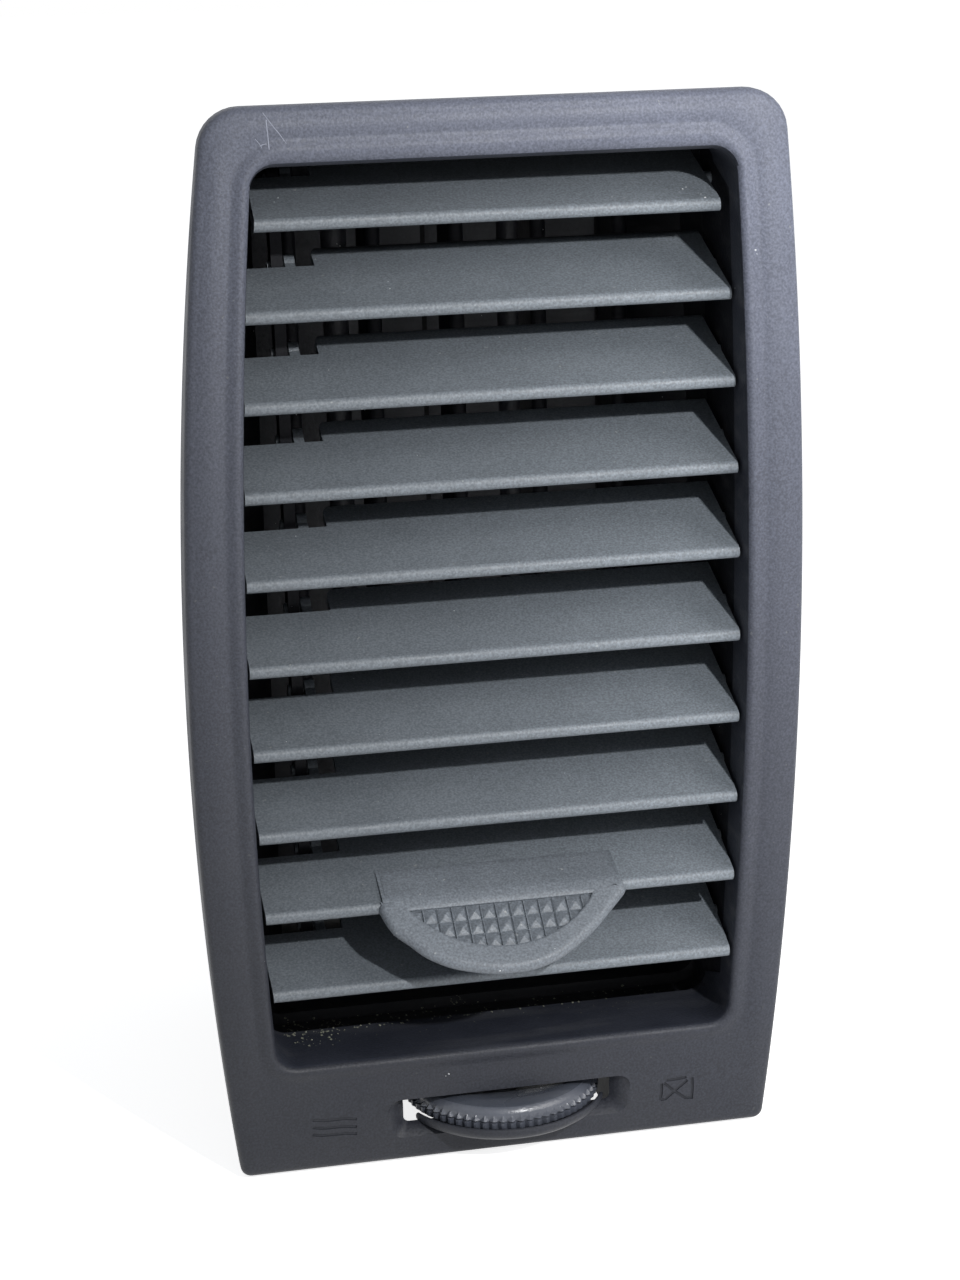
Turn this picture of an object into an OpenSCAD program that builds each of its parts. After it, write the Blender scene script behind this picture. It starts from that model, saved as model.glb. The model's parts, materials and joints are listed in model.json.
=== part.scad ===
// Vehicle dashboard air vent: louvers, steering vanes, thumbwheel and damper.
// X points to the viewer's right, Z up, and the front faces -Y.
// The plane Y = 0 is where the rear edge of the bezel seats on the dashboard.

/* [Bezel] */
// Height of the bezel
bezel_h = 172; // [160:1:190]
// Width of the bezel at its widest
bezel_w = 97.8; // [94:0.2:106]
// Thickness of the bezel's edge
edge_t = 3; // [2.5:0.1:4]
// How far the face bulges forward between top and bottom
face_bulge = 3.6; // [2:0.2:6]
// How far the left side bulges outward
bulge_left = 5.7; // [4:0.1:6.5]
// How far the right side bulges outward
bulge_right = 3.7; // [3:0.1:5]
// Radius of the two upper corners
corner_top_r = 6.5; // [4:0.5:8]
// Radius of the two lower corners
corner_bottom_r = 1.8; // [1:0.2:3]
// Wall thickness of the face
skin = 2.4; // [2:0.1:2.6]

/* [Opening] */
// Width of the opening at its widest
opening_w = 79.4; // [77:0.2:81]
// Face left above the opening
strip_top = 6.4; // [6:0.2:8]
// Face left below the opening
strip_bottom = 19.6; // [19:0.2:22]
// How far the opening's left side bulges outward
opening_bulge_left = 4.5; // [3:0.1:5]
// How far the opening's right side bulges outward
opening_bulge_right = 2.8; // [2:0.1:4]
// Radius of the opening's corners
opening_r = 3.4; // [2:0.2:4]
// Radius of the rounded lip along the top of the opening
lip_r = 2.5; // [1.5:0.1:3]
// Depth of the top ledge and of the sill
sill_depth = 12; // [10:0.5:13]
// Depth of the side walls of the opening, behind the seat plane
side_depth = 1; // [0.5:0.1:1.5]
// Wall round the opening
sleeve_wall = 2; // [1.6:0.1:2.2]

/* [Louvers] */
// Number of louvers
louver_count = 10; // [9:1:10]
// How far the top louver's nose lies below the top of the bezel
top_nose_drop = 18.8; // [18.6:0.1:20]
// How far the bottom louver's nose lies above the bottom of the bezel
last_nose_rise = 31.25; // [31:0.05:33]
// How far the noses lie behind the face
nose_setback = 2.8; // [2:0.2:4]
// How much further back the upper noses lie than the lower ones, over half the height
setback_slope = 3.5; // [2:0.1:4]
// Distance from the pivot forward to the nose
louver_front = 11.5; // [10:0.5:12]
// Distance from the pivot back to the rear edge
louver_rear = 8.5; // [7:0.1:8.7]
// Slope of the louvers at rest, nose down
rest_tilt = 20; // [15:1:25]
// Radius of the nose
nose_r = 1.1; // [0.8:0.1:1.3]
// Radius of the rear edge
tail_r = 0.6; // [0.5:0.1:0.8]
// Radius of the hub along the pivot
hub_r = 1.9; // [1.8:0.1:2.2]
// Diameter of the pivot pins
pin_d = 1.8; // [1.4:0.1:2]
// Gap between a louver's end and the line of the opening
louver_end_gap = 0.5; // [0.4:0.1:1.5]
// Width of the cut-back corner at the rear left, from the line of the opening
notch_w = 15.2; // [14:0.1:17]
// Distance from the pivot to the crank pin
crank_r = 6.5; // [6:0.1:7]
// Thickness of the cranks and of the tie bar
link_t = 1.8; // [1.5:0.1:2]
// Width of the tie bar
tie_w = 3.8; // [3.4:0.1:4]
// Distance from the line of the opening to the tie bar
tie_inset = 9.7; // [9:0.1:10.5]

/* [Finger tab] */
// Which louver carries the tab, counted from the top
tab_index = 9; // [9:1:9]
// Radius of the half-moon
tab_r = 20.8; // [19:0.2:22]
// How far the tab reaches past the nose
tab_reach = 13.2; // [11:0.1:14]
// Thickness of the tab
tab_t = 2.2; // [2:0.1:2.6]
// How much steeper the tab is than its louver
tab_droop = 15; // [10:1:18]
// Place of the tab along the louver
tab_x = -0.8; // [-2:0.1:1]
// Depth of the grip pad in the tab
pad_depth = 0.6; // [0.4:0.1:0.8]
// Margin between the pad and the tab's edge
pad_margin = 5; // [4:0.2:6]
// Thickness of the saddle that holds the tab on its louver
saddle_t = 0.5; // [0.4:0.1:0.7]

/* [Vanes] */
// Number of steering vanes
vane_count = 5; // [5:2:5]
// Spacing of the vanes
vane_pitch = 13.5; // [12:0.5:13.5]
// Depth of the vane pivots behind the seat plane
vane_y = 25; // [24.8:0.1:25.5]
// Length of a vane, front to back
vane_chord = 13; // [12:0.5:13.5]
// Thickness of a vane
vane_t = 1.6; // [1.2:0.1:2]
// Distance from the pivot of the tab's louver back to the steering post
fork_reach = 13; // [12:0.1:13.2]
// Diameter of the steering post
post_d = 2.4; // [2:0.1:2.8]
// Distance from a vane's pivot to its link pin
vane_crank = 9; // [8:0.2:9.4]

/* [Thumbwheel] */
// Radius of the wheel
wheel_r = 16.8; // [16:0.2:17.4]
// Thickness of the wheel's rim
wheel_t = 4.2; // [3.8:0.1:4.4]
// Place of the wheel's axis across the vent
wheel_x = 1.2; // [0:0.1:2]
// Depth of the wheel's axis behind the seat plane
wheel_y = 7; // [6.4:0.1:8]
// Height of the top of the rim above the bottom of the bezel
wheel_rise = 11; // [10.6:0.1:11.1]
// Teeth round the rim
wheel_teeth = 60; // [40:1:80]
// Diameter of the axle
axle_d = 3; // [2.5:0.1:3.5]
// Distance from the axis to the crank pin, the same on the damper levers
throw_r = 7; // [6.6:0.1:7.4]
// Width of the slot for the wheel
slot_w = 35; // [35:0.2:37]
// Height of the slot
slot_h = 5.5; // [5.4:0.1:6]
// Width of the recess round the slot
recess_w = 40; // [39.5:0.2:42]
// Height of the recess
recess_h = 7.3; // [7:0.1:7.8]
// How far the guard lip stands out past the wheel
guard_margin = 1.4; // [1:0.1:2]

/* [Damper] */
// Depth of the damper axes behind the seat plane
damper_y = 54.5; // [54:0.5:56]
// Gap between a damper blade and the spigot's wall
damper_gap = 0.3; // [0.2:0.1:0.5]
// Turn of the blades from open to closed; they are closed at rest
damper_closed = 80; // [70:1:80]
// Thickness of a damper blade
damper_t = 2; // [1.6:0.1:2.4]
// Diameter of the damper journals
journal_d = 4; // [3.6:0.1:4.4]
// Angle of the crank pins at rest, from the X axis
crank_rest = 130; // [120:1:130]
// Thickness of the foam on a blade's edges
foam_t = 0.8; // [0.6:0.1:0.9]

/* [Housing] */
// Wall of the housing
shell_t = 1.8; // [1.6:0.1:2]
// Thickness of the bearing rails
rail_t = 1.8; // [1.6:0.1:1.9]
// Rear end of the rails
rail_rear = 17; // [16.5:0.1:17.5]
// Rear end of the spigot
spigot_y = 77; // [75:1:80]
// Half width inside the spigot
spigot_half_w = 31; // [31:0.1:32]
// How far the inside of the spigot's roof lies below the top of the bezel
spigot_drop = 15.5; // [15:0.5:17]
// Width of the foam band on the spigot
seal_band = 10; // [8:0.5:12]
// Thickness of the foam band
seal_t = 1.8; // [1.5:0.1:2]

/* [Fixings] */
// Distance between the two mounting bosses
mount_spacing = 73; // [71:0.5:74]
// Height of the mounting bosses above the bottom of the bezel
mount_rise = 9.5; // [9:0.1:10]
// Radius of the pilot holes
mount_hole_r = 1.6; // [1.4:0.1:1.9]
// Depth of the pilot holes
mount_hole_l = 9; // [7:0.5:10]
// Radius of the mounting bosses
mount_boss_r = 3.4; // [3.2:0.1:3.8]
// Distance between the two frame screws
frame_screw_spacing = 56; // [54:1:58]
// Distance between the two clips on the roof and on the floor
clip_spacing = 40; // [36:1:44]
// Thickness of the clip's steel
clip_t = 0.6; // [0.5:0.1:0.8]

/* [Clearances] */
// Radial clearance of pins and journals
pin_gap = 0.05; // [0.04:0.01:0.08]
// Gap between parts that are assembled together
seat_gap = 0.1; // [0.05:0.05:0.15]
// Gap between parts that slide past each other
run_gap = 0.3; // [0.25:0.05:0.35]

/* [Hidden] */
$fn = 40;

// A length that reaches past everything it cuts
far = 200;
// How far joined solids run into each other
overlap = 0.1;

half_h = bezel_h/2;
louver_pitch = (bezel_h - top_nose_drop - last_nose_rise)/(louver_count - 1);
top_nose_z = half_h - top_nose_drop;
notch_x = opening_w/2 - notch_w;
damper_x = spigot_half_w/2 - damper_gap;
damper_w = 2*damper_x + 2*damper_gap;
// Length of a hole that passes a lug or a foot
through = 20;
tie_x = opening_w/2 - tie_inset;
wheel_top_z = -half_h + wheel_rise;
spigot_top = half_h - spigot_drop;
mount_z = -half_h + mount_rise;
// A plane clear in front of the face
face_front = edge_t + face_bulge + 1;
function face_y(z) = -edge_t - face_bulge*(1 - z*z/(half_h*half_h));

// Height at which each side is widest
widest_left = -0.07*half_h;
widest_right = 0.08*half_h;

opening_top = half_h - strip_top - lip_r;
opening_bottom = -half_h + strip_bottom;
rim_top = half_h - strip_top;

// Socket of the housing round the sleeve of the bezel
socket_grow = sleeve_wall + 2*seat_gap;
shell_grow = socket_grow + shell_t;
// The duct behind the rails is flush with their inner faces
duct_grow = run_gap;
duct_top = opening_top + duct_grow;
duct_bottom = opening_bottom - duct_grow;
floor_z = opening_bottom - shell_grow;
roof_z = opening_top + shell_grow;

function nose_z(i) = top_nose_z - (i - 1)*louver_pitch;
function nose_y(i) = face_y(nose_z(i)) + nose_setback + setback_slope*nose_z(i)/half_h;
function pivot_y(i) = nose_y(i) + louver_front*cos(rest_tilt);
function pivot_z(i) = nose_z(i) + louver_front*sin(rest_tilt);
function crank_y(i) = pivot_y(i) + crank_r*cos(rest_tilt);
function crank_z(i) = pivot_z(i) + crank_r*sin(rest_tilt);

post_y = pivot_y(tab_index) + fork_reach;
post_z = pivot_z(tab_index);
vane_front = vane_y - 1.2;
// Clear height of the steering post above and below the tab louver's pivot
post_above = 11.5;
post_below = 8.5;

wheel_bottom_z = wheel_top_z - wheel_t;
slot_top_z = wheel_top_z + 0.7;
guard_r = wheel_r + guard_margin;
guard_top_z = wheel_bottom_z - 0.4;
guard_t = 1;
// The slope under the guard runs back to the face over this height
guard_blend = 4.6;
guard_back = 7.2;
// How far the guard reaches behind the front of the flat edge
guard_root = 1.6;
lever_t = 1.8;
lever_w = 4.4;
lever_z = floor_z - 0.2 - lever_t;
plate_t = 1.9;
plate_z = lever_z - 0.2 - plate_t;
crank_dx = throw_r*cos(crank_rest);
crank_dy = throw_r*sin(crank_rest);
crank_pin_d = 2.4;
eye_r = 2.8;

// ---- shared shapes ----

// Extrudes a drawing in X and Z from depth y0 to depth y1
module along_y(y0, y1) {
    translate([0, y1, 0]) rotate([90, 0, 0]) linear_extrude(y1 - y0) children();
}

// Extrudes a drawing in Y and Z from x0 to x1
module along_x(x0, x1) {
    translate([x0, 0, 0]) rotate([90, 0, 90]) linear_extrude(x1 - x0) children();
}

// Extrudes a drawing in X and Y from height z0 to height z1
module along_z(z0, z1) {
    translate([0, 0, z0]) linear_extrude(z1 - z0) children();
}

// Heights at which the bulging sides have their points
side_grid = [for (k = [-17:17]) k*half_h/15];
// Steps of a rounded corner and of the bulging face
corner_steps = 10;
face_steps = 36;

function arc_radius(bulge) = (half_h*half_h + bulge*bulge)/(2*bulge);
function reversed(list) = [for (k = [1:len(list)]) list[len(list) - k]];
function side_z(s) = s < 0 ? widest_left : widest_right;

// Place across the vent of a bulging side at height z; s is -1 for the left
function side_x(s, half_w, bulge, grow, z) =
    let (r = arc_radius(bulge), dz = z - side_z(s))
    s*(half_w - r + sqrt(pow(r + grow, 2) - dz*dz));

// A rounded corner, from the side to the straight edge at edge_z above (e = 1) or below (-1)
function corner_points(s, e, half_w, bulge, grow, edge_z, r) =
    let (side_r = arc_radius(bulge),
        dz = edge_z - e*r - side_z(s),
        dx = sqrt(pow(side_r + grow - r, 2) - dz*dz),
        side_a = atan2(dz, dx))
    [for (k = [0:corner_steps]) let (a = side_a + (e*90 - side_a)*k/corner_steps)
        [s*(half_w - side_r + dx + r*cos(a)), edge_z - e*r + r*sin(a)]];

// One side from bottom to top, with its two corners
function side_points(s, half_w, bulge, z0, z1, r0, r1, grow) =
    let (low = reversed(corner_points(s, -1, half_w, bulge, grow, z0, r0)),
        high = corner_points(s, 1, half_w, bulge, grow, z1, r1),
        from = low[corner_steps][1] + 1,
        to = high[0][1] - 1)
    concat(low,
        [for (z = side_grid) if (z > from && z < to) [side_x(s, half_w, bulge, grow, z), z]],
        high);

// A barrel with straight top and bottom edges and rounded corners
module barrel_panel(half_w, left, right, z0, z1, r0, r1, grow) {
    bottom = z0 - grow;
    top = z1 + grow;
    bottom_r = max(r0 + grow, 0.4);
    top_r = max(r1 + grow, 0.4);
    polygon(concat(
        side_points(1, half_w, right, bottom, top, bottom_r, top_r, grow),
        reversed(side_points(-1, half_w, left, bottom, top, bottom_r, top_r, grow))));
}

// Everything between the bulging sides of the opening
module opening_barrel(grow) {
    half_w = opening_w/2;
    polygon(concat(
        [for (z = side_grid) [side_x(1, half_w, opening_bulge_right, grow, z), z]],
        [for (z = reversed(side_grid)) [side_x(-1, half_w, opening_bulge_left, grow, z), z]]));
}

module bezel_outline(grow) {
    barrel_panel(bezel_w/2, bulge_left, bulge_right, -half_h, half_h,
        corner_bottom_r, corner_top_r, grow);
}

module opening_outline(grow) {
    barrel_panel(opening_w/2, opening_bulge_left, opening_bulge_right,
        opening_bottom, opening_top, opening_r, opening_r, grow);
}

// Everything behind the bulging face, moved back by inset
module behind_face(inset) {
    reach = half_h + 1;
    along_x(-far/2, far/2) polygon(concat(
        [for (k = [0:face_steps]) let (z = reach*(2*k/face_steps - 1)) [face_y(z) + inset, z]],
        [[far/2, reach], [far/2, -reach]]));
}

// ---- bezel ----

module skin_shell() {
    difference() {
        intersection() {
            along_y(-face_front, 0) bezel_outline(0);
            behind_face(0);
        }
        intersection() {
            along_y(-face_front, 1) difference() {
                bezel_outline(-skin);
                opening_outline(sleeve_wall);
            }
            behind_face(skin);
        }
    }
}

module opening_sleeve() {
    intersection() {
        union() {
            along_y(-face_front, side_depth) opening_outline(sleeve_wall);
            along_y(0, sill_depth - edge_t) intersection() {
                opening_outline(sleeve_wall);
                opening_barrel(-seat_gap/2);
            }
        }
        behind_face(0);
    }
}

// Widens the top of the opening into a rounded lip
module lip_cut() {
    lip_y = face_y(rim_top) + lip_r;
    difference() {
        translate([-far/2, lip_y - far, opening_top - 1]) cube([far, far, lip_r + 1]);
        translate([-far/2 - 1, lip_y, rim_top]) rotate([0, 90, 0])
            cylinder(r = lip_r, h = far + 2, $fn = 64);
    }
}

recess_depth = 2.6;

// A slab with rounded ends, centred on the wheel, from z0 up to z1
module slot_slab(w, z0, z1, y, r) {
    for (s = [-1, 1], z = [z0 + r, z1 - 0.5])
        translate([wheel_x - 0.6 + s*(w/2 - r), y, z]) rotate([90, 0, 0])
            cylinder(r = z < z1 - 0.5 ? r : 0.5, h = 0.1, $fn = 24);
}

module wheel_slot() {
    slot_y = face_y(slot_top_z);
    translate([wheel_x - 0.6 - slot_w/2, slot_y - 2, slot_top_z - slot_h])
        cube([slot_w, 12, slot_h]);
    hull() {
        slot_slab(recess_w + 1.2, slot_top_z - recess_h - 0.4, slot_top_z, slot_y - 0.4, 2);
        slot_slab(slot_w, slot_top_z - slot_h, slot_top_z, slot_y + recess_depth, 1);
    }
}

// Lip under the front of the wheel, blended down into the face
module wheel_guard() {
    foot_r = guard_r - guard_back;
    intersection() {
        translate([wheel_x, wheel_y, guard_top_z - guard_t]) union() {
            cylinder(r = guard_r, h = guard_t, $fn = 96);
            translate([0, 0, -guard_blend])
                cylinder(r1 = foot_r, r2 = guard_r, h = guard_blend, $fn = 96);
        }
        translate([-far/2, -far - edge_t + guard_root, -far/2]) cube([far, far, far]);
    }
}

// Generic engraved signs: three bars for open air, a crossed box for closed
sign_depth = 0.5;
sign_x = 29;
sign_z = -half_h + 7.7;
sign_line = 0.7;

module engraved() {
    along_y(face_y(sign_z) - 1, face_y(sign_z) + sign_depth) children();
}

module open_sign() {
    for (k = [-1:1])
        translate([-sign_x, sign_z + 1.3*k]) rotate(-4) square([7.2, sign_line], center = true);
}

module closed_sign() {
    translate([sign_x, sign_z]) {
        difference() {
            square([5.8, 4.4], center = true);
            square([5.8 - 2*sign_line, 4.4 - 2*sign_line], center = true);
        }
        for (s = [-1, 1]) rotate(s*36) square([6, sign_line], center = true);
    }
}

boss_front = face_y(mount_z) + skin - 1;
mount_rear = 8;
frame_boss_rear = 4;

// A boss on the back of the face, from its rear end forward
module boss_at(x, z, r, rear) {
    translate([x, rear, z]) rotate([90, 0, 0]) cylinder(r = r, h = rear - boss_front);
}

// A pilot hole of the stated depth in such a boss
module pilot_at(x, z, r, rear, depth) {
    translate([x, rear + 1, z]) rotate([90, 0, 0]) cylinder(r = r, h = depth + 1);
}

// The frame screws pass the housing's lugs into these bosses
frame_boss_r = 2.6;
frame_screw_r = 1.1;
frame_screw_z = floor_z - 4.4;
frame_pilot_l = 5;

web_gap = 0.8;
web_w = 7;
web_rear = 6.5;

// Web behind the right end of the slot, so that no light passes beside the wheel
module slot_web() {
    web_y = face_y(slot_top_z);
    translate([wheel_x + wheel_r + web_gap, web_y, slot_top_z - slot_h])
        cube([web_w, web_rear - web_y, slot_h]);
}

module bezel() {
    color([0.34, 0.35, 0.39]) difference() {
        union() {
            skin_shell();
            opening_sleeve();
            wheel_guard();
            slot_web();
            for (s = [-1, 1]) {
                boss_at(s*mount_spacing/2, mount_z, mount_boss_r, mount_rear);
                boss_at(s*frame_screw_spacing/2, frame_screw_z, frame_boss_r, frame_boss_rear);
            }
        }
        along_y(-far, far) opening_outline(0);
        intersection() {
            lip_cut();
            along_y(-far, far) opening_barrel(0);
        }
        wheel_slot_open();
        for (s = [-1, 1]) {
            pilot_at(s*mount_spacing/2, mount_z, mount_hole_r, mount_rear, mount_hole_l);
            pilot_at(s*frame_screw_spacing/2, frame_screw_z, frame_screw_r - pin_gap,
                frame_boss_rear, frame_pilot_l);
        }
        engraved() open_sign();
        engraved() closed_sign();
    }
}

// The slot and its recess, less the guard that stands in them
module wheel_slot_open() {
    difference() {
        wheel_slot();
        wheel_guard();
    }
}

// ---- housing ----

taper_start = 26;
taper_end = 38.5;
shoulder_x = opening_w/2 + 3.3;

module duct_plan(grow) {
    polygon([[-far/2, -1], [far/2, -1], [far/2, taper_start - 1], [shoulder_x + grow, taper_start],
        [spigot_half_w + grow, taper_end], [spigot_half_w + grow, far],
        [-spigot_half_w - grow, far], [-spigot_half_w - grow, taper_end],
        [-shoulder_x - grow, taper_start], [-far/2, taper_start - 1]]);
}

module duct_profile(grow) {
    polygon([[-1, -far/2], [-1, far/2], [taper_start - 1, far/2], [taper_start, duct_top + grow],
        [taper_end, spigot_top + grow], [far, spigot_top + grow], [far, -far/2]]);
}

// A duct between depths y0 and y1, grow outside the opening's line in front
module duct(y0, y1, grow, rear_grow) {
    intersection() {
        along_y(y0, y1) opening_outline(grow);
        along_z(-far/2, far/2) duct_plan(rear_grow);
        along_x(-far/2, far/2) duct_profile(rear_grow);
    }
}

shell_front = 0.3;
clip_y = 6;
clip_l = 9;
post_w = 1.6;
post_h = 1.8;
floor_clip_x = 32;
barb_l = 1;
bracket_foot_x = 18.5;
bracket_y = 27;
foot_screw_r = 1.1;
foot_boss_r = 2.8;
foot_boss_l = 3;

module clip_post(x, e) {
    z = e > 0 ? roof_z : floor_z;
    translate([x - post_w/2, clip_y, e > 0 ? z - 0.5 : z - post_h])
        cube([post_w, clip_l, post_h + 0.5]);
}

module frame_lug(s) {
    x = s*frame_screw_spacing/2;
    difference() {
        hull() {
            translate([x, frame_boss_rear + seat_gap, frame_screw_z]) rotate([-90, 0, 0])
                cylinder(r = frame_boss_r, h = 2);
            translate([x - 4, frame_boss_rear + seat_gap, floor_z]) cube([8, 2, 0.5]);
        }
        translate([x, 0, frame_screw_z]) rotate([-90, 0, 0])
            cylinder(r = frame_screw_r + run_gap, h = through);
    }
}

axle_boss_r = 2.7;

module housing() {
    color([0.16, 0.17, 0.19]) difference() {
        union() {
            difference() {
                duct(shell_front, spigot_y, shell_grow, shell_t);
                duct(0, rail_rear + seat_gap, socket_grow, socket_grow);
                duct(0, far, duct_grow, 0);
            }
            for (s = [-1, 1]) {
                frame_lug(s);
                clip_post(s*clip_spacing/2, 1);
                translate([wheel_x + s*bracket_foot_x, bracket_y, floor_z - foot_boss_l])
                    cylinder(r = foot_boss_r, h = foot_boss_l + 4*overlap);
            }
            for (s = [-1, 1]) clip_post(s*floor_clip_x, -1);
            translate([wheel_x, wheel_y, wheel_top_z + 0.3])
                cylinder(r = axle_boss_r, h = floor_z - wheel_top_z);
        }
        for (k = [1:vane_count]) vane_holes(k);
        for (s = [-1, 1]) {
            translate([s*damper_x, damper_y, floor_z - 1])
                cylinder(r = journal_d/2 + pin_gap, h = duct_bottom - floor_z + 2);
            translate([s*damper_x, damper_y, spigot_top - 1])
                cylinder(r = journal_d/2 + pin_gap, h = journal_end + 0.7);
            translate([wheel_x + s*bracket_foot_x, bracket_y, floor_z - foot_boss_l - 1])
                cylinder(r = foot_screw_r - pin_gap, h = foot_boss_l + 3);
        }
        translate([wheel_x, wheel_y, wheel_bottom_z])
            cylinder(r = axle_d/2 + pin_gap/2, h = floor_z + 1 - wheel_bottom_z);
    }
}

// ---- bearing rails ----

module rail(s) {
    color([0.13, 0.13, 0.15]) difference() {
        along_y(side_depth + seat_gap, rail_rear) intersection() {
            difference() {
                opening_outline(duct_grow + rail_t);
                opening_barrel(duct_grow);
            }
            translate([s < 0 ? -far/2 : 0, -far/2]) square([far/2, far]);
        }
        for (i = [1:louver_count])
            translate([0, pivot_y(i), pivot_z(i)]) rotate([0, s*90, 0])
                cylinder(r = pin_d/2 + pin_gap, h = far/2);
    }
}

// ---- louvers ----

// Puts children, drawn flat about the pivot, on louver i at rest
module on_louver(i) {
    translate([0, pivot_y(i), pivot_z(i)]) rotate([rest_tilt, 0, 0]) children();
}

nose_u = -louver_front + nose_r;
nose_w = hub_r - nose_r;

// Section of a louver: flat on top, with a round nose and a hub below
module louver_section(grow) {
    tail_u = louver_rear - tail_r;
    translate([nose_u, nose_w]) circle(nose_r + grow);
    translate([tail_u, hub_r - tail_r]) circle(tail_r + grow);
    polygon([[nose_u, hub_r + grow], [tail_u, hub_r + grow], [tail_u, hub_r - 2*tail_r - grow],
        [nose_u, nose_w - nose_r - grow]]);
    circle(hub_r + grow);
}

notch_u = 2.6;
notch_r = 2;

// Plan of the cut-back corner at the rear left
module notch_plan() {
    difference() {
        translate([-far/2, notch_u]) square([far/2 - notch_x + notch_r, far/2]);
        translate([-notch_x, notch_u - 1]) square([2*notch_r, louver_rear - notch_r - notch_u + 1]);
        translate([-notch_x + notch_r, louver_rear - notch_r]) circle(notch_r);
    }
}

module blade(i, gap) {
    difference() {
        intersection() {
            on_louver(i) along_x(-far/2, far/2) louver_section(0);
            along_y(-far/2, far/2) opening_barrel(-gap);
        }
        on_louver(i) along_z(-far/4, far/4) notch_plan();
    }
}

pin_length = 30;

// Pivot pins that reach into the rails
module pivot_pins(i) {
    intersection() {
        for (s = [-1, 1])
            translate([s*louver_pin_start, pivot_y(i), pivot_z(i)]) rotate([0, s*90, 0])
                cylinder(r = pin_d/2, h = pin_length);
        along_y(-far/2, far/2) opening_barrel(duct_grow + rail_t - seat_gap);
    }
}

louver_pin_start = opening_w/2 - 8.7;
crank_x0 = tie_x - link_t/2 - run_gap - 1.6;

// Crank arm and pin, on the right of the tie bar
module louver_crank(i) {
    on_louver(i) {
        translate([-crank_x0 - 1.6, 0, -1.1]) cube([1.6, crank_r, 2.2]);
        translate([-crank_x0 - 1.6, crank_r, 0]) rotate([0, 90, 0]) cylinder(r = 1.7, h = 1.6);
        translate([-tie_x - link_t/2 - 0.5, crank_r, 0]) rotate([0, 90, 0])
            cylinder(r = pin_d/2, h = link_t + 1 + run_gap);
    }
}

// The top louver is shorter, so that it clears the rounded corners when it is tilted
top_louver_cut = 0.9;

module louver(i) {
    color([0.42, 0.44, 0.47]) union() {
        blade(i, louver_end_gap + (i == 1 ? top_louver_cut : 0));
        pivot_pins(i);
        louver_crank(i);
    }
}

// The half-moon, drawn flat about the nose line
module tab_disc(r, t) {
    back = tab_r - tab_reach;
    intersection() {
        translate([tab_x, back, 0]) cylinder(r = r, h = t, $fn = 96);
        translate([-far/2, -far, -1]) cube([far, far, t + 2]);
    }
}

// How far the half-moon's top lies below the round of the saddle
tab_sink = 0.1;

module at_tab() {
    translate([0, nose_u, nose_w]) rotate([tab_droop, 0, 0])
        translate([0, 0, nose_r + saddle_t - tab_sink - tab_t]) children();
}

tine_t = 1.4;
tine_gap = post_d/2 + 0.28;
tine_h = 1.4;
tine_past_post = 3.9;
arm_t = 1.3;
arm_gap = 0.2;
arm_w = 2*(tine_gap + tine_t);
arm_back = louver_rear + 0.4;
saddle_end = 3.5;
saddle_edge = 0.15;
saddle_step = 0.4;

// Saddle round the nose: a wedge on top of the louver and a plate below it
module saddle_section() {
    bottom = nose_w - nose_r;
    translate([nose_u, nose_w]) circle(nose_r + saddle_t);
    polygon([[nose_u, hub_r + saddle_t], [-saddle_end, hub_r + saddle_edge],
        [-saddle_end, bottom - saddle_t], [nose_u, bottom - saddle_t]]);
}

// Arm that runs back under the louver's hub and up behind it
module arm_section() {
    top = nose_w - nose_r - arm_gap;
    low = -hub_r - arm_gap;
    polygon([[nose_u, top], [-hub_r - arm_t, top], [-hub_r, low], [arm_back, low],
        [arm_back, tine_h/2], [arm_back + arm_t, tine_h/2], [arm_back + arm_t, low - arm_t],
        [-hub_r - arm_t, low - arm_t], [-2*hub_r - arm_t, top - arm_t], [nose_u, top - arm_t]]);
}

// Fork that straddles the steering post of the middle vane
module steering_fork() {
    tine_end = fork_reach + tine_past_post;
    for (s = [-1, 1])
        translate([s*(tine_gap + tine_t/2) - tine_t/2, arm_back + arm_t - overlap, -tine_h/2])
            cube([tine_t, tine_end - arm_back - arm_t + overlap, tine_h]);
}

module finger_tab() {
    back = tab_r - tab_reach;
    saddle_half_w = sqrt(tab_r*tab_r - back*back) - saddle_step;
    color([0.43, 0.45, 0.48]) on_louver(tab_index) difference() {
        union() {
            at_tab() tab_disc(tab_r, tab_t);
            along_x(tab_x - saddle_half_w, tab_x + saddle_half_w) saddle_section();
            along_x(-arm_w/2, arm_w/2) arm_section();
            steering_fork();
        }
        along_x(-far/2, far/2) louver_section(pin_gap);
        at_tab() translate([0, 0, tab_t - pad_depth]) intersection() {
            translate([tab_x, back, 0]) cylinder(r = tab_r - pad_margin, h = tab_t, $fn = 96);
            translate([-far/2, -far - pad_start, -1]) cube([far, far, tab_t + 2]);
        }
    }
}

// Distance from the nose's axis to the pad
pad_start = 2.2;

// ---- louver link ----

tie_points = [for (i = [1:louver_count]) [crank_y(i), crank_z(i)]];

module louver_link() {
    color([0.2, 0.2, 0.22]) along_x(-tie_x - link_t/2, -tie_x + link_t/2) difference() {
        union() {
            polygon(concat([for (p = tie_points) [p[0] - tie_w/2, p[1]]],
                [for (k = [louver_count - 1:-1:0]) [tie_points[k][0] + tie_w/2, tie_points[k][1]]]));
            for (p = tie_points) translate(p) circle(tie_w/2);
        }
        for (p = tie_points) translate(p) circle(pin_d/2 + pin_gap);
    }
}

// ---- vanes ----

function vane_x(k) = (k - (vane_count + 1)/2)*vane_pitch;
vane_bottom = duct_bottom + 0.5;
vane_top = duct_top - 0.5;
vane_pin_l = 2.6;
link_slot_h = 6;
vane_link_z = vane_bottom + 1.2;
vane_link_t = 2.4;

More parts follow.
